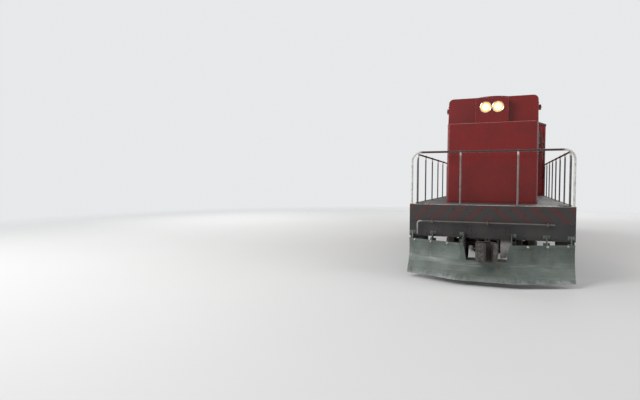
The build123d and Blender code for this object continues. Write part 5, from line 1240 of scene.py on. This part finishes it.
# Axle boxes: cast housings on the journals, closed outside by a round bolted cap, between bright
# manganese wear plates; each box carries two coil springs of round bar under the side frame.
box_iron = weathered("box_iron", "truck_iron", (0.036, 0.033, 0.031), (0.075, 0.055, 0.042), 0.5, 1.0,
                     0.7, 0.6, 1.0)
spring_steel = weathered("spring_steel", "truck_iron", (0.050, 0.040, 0.034), (0.090, 0.058, 0.038), 0.5,
                         0.8, 0.6, 0.8, 1.0)
box_back, box_front = 0.640, 0.795
box_half_width, box_half_height = 0.1102, 0.120
bore_radius, bore_end = 0.0620, 0.767
coil_radius, bar_radius, coil_turns = 0.040, 0.0095, 5.0


def housing(places):
    """An axle box: rings of points run from the front's middle over a square with round corners, back
    along the sides, across the rear face to a round hole, and down the bore to its blind end. On the
    square rings cosine and sine go to the power of one sixth, which pushes the circle out to corners."""
    bore = circle((1, 0), (0, 1), 48, np.pi / 48)
    square = np.sign(bore) * np.abs(bore) ** (1 / 6) * (box_half_width, box_half_height)
    edge = 0.006
    drawn_in = square - np.sign(square) * edge
    rings = [(box_front, square * 0.5), (box_front, drawn_in), (box_front - edge, square),
             (box_back + edge, square), (box_back, drawn_in), (box_back, bore * bore_radius),
             (bore_end, bore * bore_radius)]
    return repeated(loops(np.stack([at_x(x, ring) for x, ring in rings])), places)


def spring(low, high):
    """A coil spring: a circle climbing evenly, ground flat by holding its height level over the first
    and last half turn, with a round bar as its section."""
    share = np.linspace(0.0, 1.0, int(coil_turns * 18) + 1)
    turn = share * coil_turns * 2 * np.pi
    flat = 0.5 / coil_turns
    climb = np.clip((share - flat / 2) / (1 - flat), 0.0, 1.0)
    path = np.column_stack([coil_radius * np.cos(turn), coil_radius * np.sin(turn),
                            low + bar_radius + climb * (high - low - 2 * bar_radius)])
    return carried(path, bar_radius, 8, (0.001, 0.0, 1.0))


box_cap = [(0.098, -0.004), (0.098, 0.008), (0.092, 0.013), (0.074, 0.015), (0.070, 0.028), (0.060, 0.034),
           (0.020, 0.036)]
spring_cup = [(0.053, 0.0), (0.053, 0.008), (0.026, 0.010)]
box_top, ledge_rise = axle_level + box_half_height, box_half_height - 0.012
coil = spring(box_top + 0.009, beam_low - 0.009)
for end_name, end in ends:
    body = f"{end_name}_truck"
    trim, coils, axle_places = [], [], []
    for axle_y in (end * truck_middle - axle_reach, end * truck_middle + axle_reach):
        axle_places.append((0.0, axle_y, axle_level))
        ledges = grid(box_front - 0.012, axle_y, spread(axle_level, ledge_rise))
        spring_ys = spread(axle_y, 0.055)
        cap_bolts = ring_places(box_front + 0.012, axle_y, axle_level, 0.085, 6, np.pi / 6)
        trim += [
            turned(box_cap, (box_front, axle_y, axle_level), (1, 0, 0), 36),
            bolts(cap_bolts, (1, 0, 0), 0.010, 0.010),
            slabs(ledges, (0.030, 0.150, 0.020), 0.004),
            turned(spring_cup, grid(journal_x, spring_ys, box_top)),
            turned(spring_cup, grid(journal_x, spring_ys, beam_low), (0, 0, -1)),
        ]
        coils.append(repeated(coil, grid(journal_x, spring_ys, 0.0)))
    boxes = build(f"{end_name}_axle_housings", mirrored([housing(axle_places)]), box_iron, body)
    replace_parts(boxes, f"{end_name}_axle_boxes")
    build(f"{end_name}_box_caps", mirrored(trim), box_iron, body)
    build(f"{end_name}_springs", mirrored(coils), spring_steel, body, smooth=60.0)

# Wheelsets: forged steel wheels pressed on the axle, rust brown and oily, but bright and smooth where
# the rail runs on tread and flange, and rubbed dark by the shoes at the rim's edge.
wheel_steel = Finish("wheel_steel", "wheel_steel")
wheel_x, wheel_y, wheel_z = wheel_steel.axes()
from_axle = abs(abs(wheel_y) - truck_middle) - axle_reach
radius = from_axle.distance(wheel_z - axle_level)
on_tread = radius.rise(0.404, 0.412) * (1 - abs(wheel_steel.facing(0)).rise(0.55, 0.85))
run_in = abs(abs(wheel_x) - 0.500).rise(0.058, 0.030)
mottled = wheel_steel.noise(5.0, 6.0, 0.7).rise(0.30, 0.72)
flaky = wheel_steel.noise(38.0, 5.0, 0.7).rise(0.45, 0.70)
oily = radius.rise(0.26, 0.13) * wheel_steel.noise(7.0, 4.0).rise(0.30, 0.60)
rim_face = radius.rise(0.352, 0.360) * (1 - on_tread)
colour = wheel_steel.mix(mottled, (0.085, 0.046, 0.030), (0.050, 0.036, 0.030),
                         (flaky * 0.6, (0.125, 0.058, 0.030)), (rim_face * 0.55, (0.060, 0.054, 0.050)),
                         (oily * 0.8, (0.014, 0.012, 0.011)),
                         (on_tread * (0.55 + run_in * 0.45), (0.40, 0.39, 0.38)))
shine = on_tread * (0.5 + run_in * 0.5)
wheel_steel.surface(colour, 0.74 - oily * 0.34 - shine * 0.50 + flaky * 0.05, shine * 0.9)
wheel_steel.dents(flaky * (1 - on_tread) + mottled * 0.5, 0.0008)
rim_face_x, hub_face_x = 0.557, 0.569
groove = [(0.3635, -0.002), (0.3635, 0.003), (0.3600, 0.005), (0.3560, 0.003), (0.3560, -0.002)]
collar = [(0.100, -0.004), (0.100, 0.006), (0.080, 0.012), (0.062, 0.012)]
for number in range(1, 5):
    copied(f"wheelset_{number}", wheel_steel, 0.003, 25.0)
    axle_y = (-1 if number < 3 else 1) * truck_middle + (-1 if number % 2 else 1) * axle_reach
    rings = [ring_places(rim_face_x + height, axle_y, axle_level, reach, 72, 0.0) for reach, height in groove]
    rings = np.stack(rings, 1)
    parts = [loops(np.concatenate([rings, rings[:1]]), capped=False),
             turned(collar, (hub_face_x, axle_y, axle_level), (1, 0, 0), 36)]
    build(f"wheel_rings_{number}", mirrored(parts), wheel_steel, f"wheelset_{number}")

# Traction motors: cast cases that hang on the axles, with bolted inspection covers, ribs on the ends
# and a two-part sheet gear case on the right, greasy along its joint.
motor_bottom = axle_level - 0.215
gear_back, gear_face = 0.298, 0.376
gear_start, gear_end = -0.20, 0.615
motor_grime = weathered("motor_grime", "truck_iron", (0.038, 0.040, 0.042), (0.060, 0.054, 0.048), 0.5,
                        0.5, 0.85, 0.4, 1.2)
for end_name, end in ends:
    middle = end * truck_middle
    copied(f"{end_name}_traction_motors", motor_grime, 0.006)
    parts = []
    for inward in (-1, 1):
        axle_y = middle - inward * axle_reach
        case_y = (axle_y + inward * 0.115 + middle - inward * 0.270) / 2
        for x in (-0.150, 0.150):
            cover = frame_places((x - 0.095, case_y - 0.170), (x + 0.095, case_y + 0.170), 0.095)
            parts.append(slabs((x, case_y, motor_bottom - 0.003), (0.230, 0.380, 0.010), 0.003))
            parts.append(bolts([(*spot, motor_bottom - 0.008) for spot in cover], (0, 0, -1), 0.010, 0.009))
        case_ribs = grid((-0.290, 0.292), spread(case_y, 0.16, 3), axle_level)
        joint_y = axle_y + inward * np.linspace(-gear_start, gear_end, 6)
        joint = ((gear_back + gear_face) / 2, axle_y + inward * (gear_end + gear_start) / 2, axle_level)
        parts += [
            slabs(case_ribs, (0.026, 0.018, 0.40), 0.004),
            slabs(joint, (gear_face - gear_back + 0.012, gear_end - gear_start, 0.016), 0.003),
            bolts(grid(gear_face + 0.002, joint_y, axle_level), (1, 0, 0), 0.008, 0.007),
        ]
    build(f"{end_name}_motor_covers", parts, motor_grime, f"{end_name}_truck")

# Fuel tank: folded and welded steel plate between the trucks, with a capped filler and a brass-framed
# sight gauge on each side, and plate straps bolted up to the centre sills.
tank_low, tank_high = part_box("fuel_tank")
tank_bevel, pad_reach, seam_reach = 0.160, 0.72, 0.500
tank_black = weathered("tank_black", "frame_black", (0.024, 0.024, 0.025), (0.050, 0.046, 0.043), 0.4,
                       0.8, 0.8, 0.35, 1.3)
copied("fuel_tank", tank_black, 0.004)
half_seam = [(tank_high.x, tank_high.z - 0.075), (tank_high.x, tank_low.z + tank_bevel),
             (tank_high.x - tank_bevel, tank_low.z)]
seam = [(-x, z) for x, z in half_seam] + half_seam[::-1]
parts = [carried([(x, y, z) for x, z in seam], 0.006, 8, (0, 1, 0))
         for y in (tank_low.y + 0.030, -seam_reach, seam_reach, tank_high.y - 0.030)]
pad_ys = spread(0.0, pad_reach, 3)
pad_bolts = grid(tank_high.x + 0.010, [*(pad_ys - 0.022), *(pad_ys + 0.022)], (0.60, 0.84))
parts.extend(mirrored([
    slabs(grid(tank_high.x + 0.004, pad_ys, 0.720), (0.012, 0.080, 0.330), 0.003),
    bolts(pad_bolts, (1, 0, 0), 0.011, 0.010),
    bolts(grid(0.80, (-0.88, 0.88), tank_low.z), (0, 0, -1), 0.026, 0.018),
]))
build("tank_seams", parts, tank_black)
filler_y, filler_z = 0.360, 0.845
filler = [(0.082, -0.002), (0.082, 0.008), (0.058, 0.012), (0.058, 0.050), (0.072, 0.052), (0.072, 0.078),
          (0.064, 0.086), (0.020, 0.088)]
filler_lugs = ring_places(tank_high.x + 0.066, filler_y, filler_z, 0.074, 3, 0.5)
build("filler_caps", mirrored([
    turned(filler, (tank_high.x, filler_y, filler_z), (1, 0, 0), 32),
    turned([(0.012, -0.010), (0.012, 0.010)], filler_lugs, (1, 0, 0), 12),
]), sash_metal)
gauge = grid(tank_high.x + 0.006, -0.360, (0.700, 0.550, 0.850))
gauge_sizes = [(0.016, 0.052, 0.270), (0.030, 0.062, 0.046), (0.030, 0.062, 0.046)]
build("gauge_frames", mirrored([slabs(gauge, gauge_sizes, 0.004)]), brass)

# Air reservoirs: rolled and dished steel drums, hung in bolted straps, with a boss and a drain cock.
tank_grey = weathered("reservoir_paint", "frame_black", (0.034, 0.034, 0.036), (0.060, 0.055, 0.050),
                      0.35, 0.7, 0.6, 0.35, 1.6)
copied("air_reservoirs", tank_grey, 0.003)
drum_low, drum_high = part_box("air_reservoirs")
drum_x, drum_radius = 1.065, 0.118
band_rise = 0.0035
drum_z = drum_high.z - drum_radius - 0.007
drum_length, drum_middle = drum_high.y - drum_low.y, (drum_low.y + drum_high.y) / 2
boss = [(0.034, -0.006), (0.034, 0.006), (0.022, 0.010), (0.022, 0.026), (0.016, 0.030)]
band = [(drum_radius - 0.003, -0.007), (drum_radius + band_rise, -0.003), (drum_radius + band_rise, 0.003),
        (drum_radius - 0.003, 0.007)]
cock = [(0.016, 0.0), (0.016, 0.020), (0.010, 0.024), (0.010, 0.050), (0.006, 0.054)]
parts, cocks = [turned(band, (drum_x, drum_middle, drum_z), (0, 1, 0), 40)], []
for way in (-1, 1):
    parts.append(turned(boss, (drum_x, drum_middle + way * drum_length / 2, drum_z), (0, way, 0), 20))
    cock_y = drum_middle + way * (0.44 * drum_length - 0.12)
    cocks.append(turned(cock, (drum_x, cock_y, drum_z - drum_radius + 0.002), (0, 0, -1), 12))
    cocks.append(slabs((drum_x + 0.020, cock_y, drum_z - drum_radius - 0.034), (0.052, 0.012, 0.006), 0.002))
    for side in (-1, 1):
        lug_x, lug_y = drum_x + side * (drum_radius + 0.012), drum_middle + way * 0.28 * drum_length
        parts.append(slabs((lug_x, lug_y, drum_z + 0.030), (0.034, 0.060, 0.010), 0.003))
        parts.append(bolts((lug_x + side * 0.004, lug_y, drum_z + 0.025), (0, 0, -1), 0.011, 0.030))
build("reservoir_fittings", mirrored(parts), tank_grey)
build("drain_cocks", mirrored(cocks), brass)

# Battery boxes: sheet boxes hung from the side sills, each with two louvred doors on pin hinges that
# are held shut by swing latches.
battery_low, battery_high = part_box("battery_boxes")
copied("battery_boxes", tank_black, 0.003)
face = battery_high.x
door_gap = 0.014
door_length = (battery_high.y - battery_low.y - 3 * door_gap) / 2
door_height = battery_high.z - battery_low.z - 0.090
door_z = battery_low.z + 0.034 + door_height / 2
latch_z = door_z - door_height / 2 + 0.035
louvre_zs = door_z + 0.075 - np.arange(4) * 0.046
parts = []
for index in range(2):
    door_y = battery_low.y + door_gap + door_length / 2 + index * (door_length + door_gap)
    knuckle_ys = [*spread(door_y - 0.14, 0.030, 3), *spread(door_y + 0.14, 0.030, 3)]
    knuckles = grid(face + 0.005, knuckle_ys, door_z + door_height / 2 + 0.004)
    latch_ys = spread(door_y, 0.15)
    parts += [
        slabs((face, door_y, door_z), (0.006, door_length - 0.012, door_height), 0.002),
        louvres(grid(face + 0.002, door_y, louvre_zs), 1, 0.260, 0.030, 0.009),
        turned([(0.0065, -0.014), (0.0065, 0.014)], knuckles, (0, 1, 0), 12),
        slabs(grid(face + 0.007, latch_ys, latch_z), (0.008, 0.026, 0.070), 0.002),
        slabs(grid(face + 0.010, latch_ys, latch_z - 0.014), (0.008, 0.060, 0.014), 0.002),
    ]
build("battery_doors", mirrored(parts), tank_black)

# Couplers: rough cast steel heads with their knuckles, brown with rust and scraped bright where two
# couplers meet, with a headed pin through the ears and the lock's lifting eye on top.
cast = Finish("cast_steel", "coupler_iron")
cast_mottle = cast.noise(9.0, 6.0, 0.68).rise(0.32, 0.70)
pits = cast.noise(70.0, 4.0, 0.7).rise(0.40, 0.66)
rubbed = abs(cast.axes()[1]).rise(5.810, 5.842) * cast.noise(20.0, 5.0, 0.7).rise(0.42, 0.62)
cast_edge = cast.edges(0.010) * cast.noise(24.0, 4.0, 0.7).rise(0.40, 0.60)
grease = cast.noise(5.0, 4.0).rise(0.52, 0.70)
bared = (rubbed * 0.6 + cast_edge * 0.4).least(1.0)
colour = cast.mix(cast_mottle, (0.026, 0.021, 0.019), (0.046, 0.032, 0.024),
                  (grease * 0.7, (0.014, 0.013, 0.012)), (bared, (0.20, 0.19, 0.18)))
roughness = 0.62 - grease * 0.2 - rubbed * 0.15 + pits * 0.08
cast.surface(colour, roughness, (rubbed * 0.8 + cast_edge * 0.5).least(0.9))
cast.dents(pits + cast_mottle, 0.0014)
coupler_level, head_half_height = 0.545, 0.140
head_top = coupler_level + head_half_height
pivot_y = 4.515
pin_head = [(0.034, -0.001), (0.034, 0.012), (0.026, 0.020), (0.010, 0.022)]
pin_foot = [(0.022, -0.001), (0.022, 0.026), (0.016, 0.030)]
for end_name, end in ends:
    copied(f"{end_name}_coupler", cast, 0.006)
    copied(f"{end_name}_knuckle", cast, 0.006)
    pin = (end * 0.092, end * (pivot_y + 1.180))
    lock_x, lock_y = end * -0.020, end * (pivot_y + 1.080)
    eye_feet = grid(spread(lock_x, 0.026), lock_y, head_top + 0.015)
    cheeks = grid(spread(0.0, 0.04675), end * (pivot_y + 0.930), coupler_level)
    build(f"{end_name}_coupler_lock", [
        turned(pin_head, (*pin, head_top), sides=20),
        turned(pin_foot, (*pin, coupler_level - head_half_height), (0, 0, -1), 16),
        slabs((lock_x, lock_y, head_top + 0.008), (0.090, 0.110, 0.018), 0.004),
        handle(eye_feet, (0, 0, 1), 0.052, 0.009),
        slabs(cheeks, (0.014, 0.150, 0.190), 0.005),
    ], cast, f"{end_name}_coupler")

# Footboards' grip studs on the rear end, pressed through the plate from below.
stud = [(0.013, -0.002), (0.012, 0.002), (0.007, 0.003)]
board_level = 0.4005
studs = grid(np.linspace(0.46, 1.14, 13), (5.150, 5.215, 5.280), board_level)
build("footboard_studs", mirrored([turned(stud, studs, sides=8)]), steel_black)
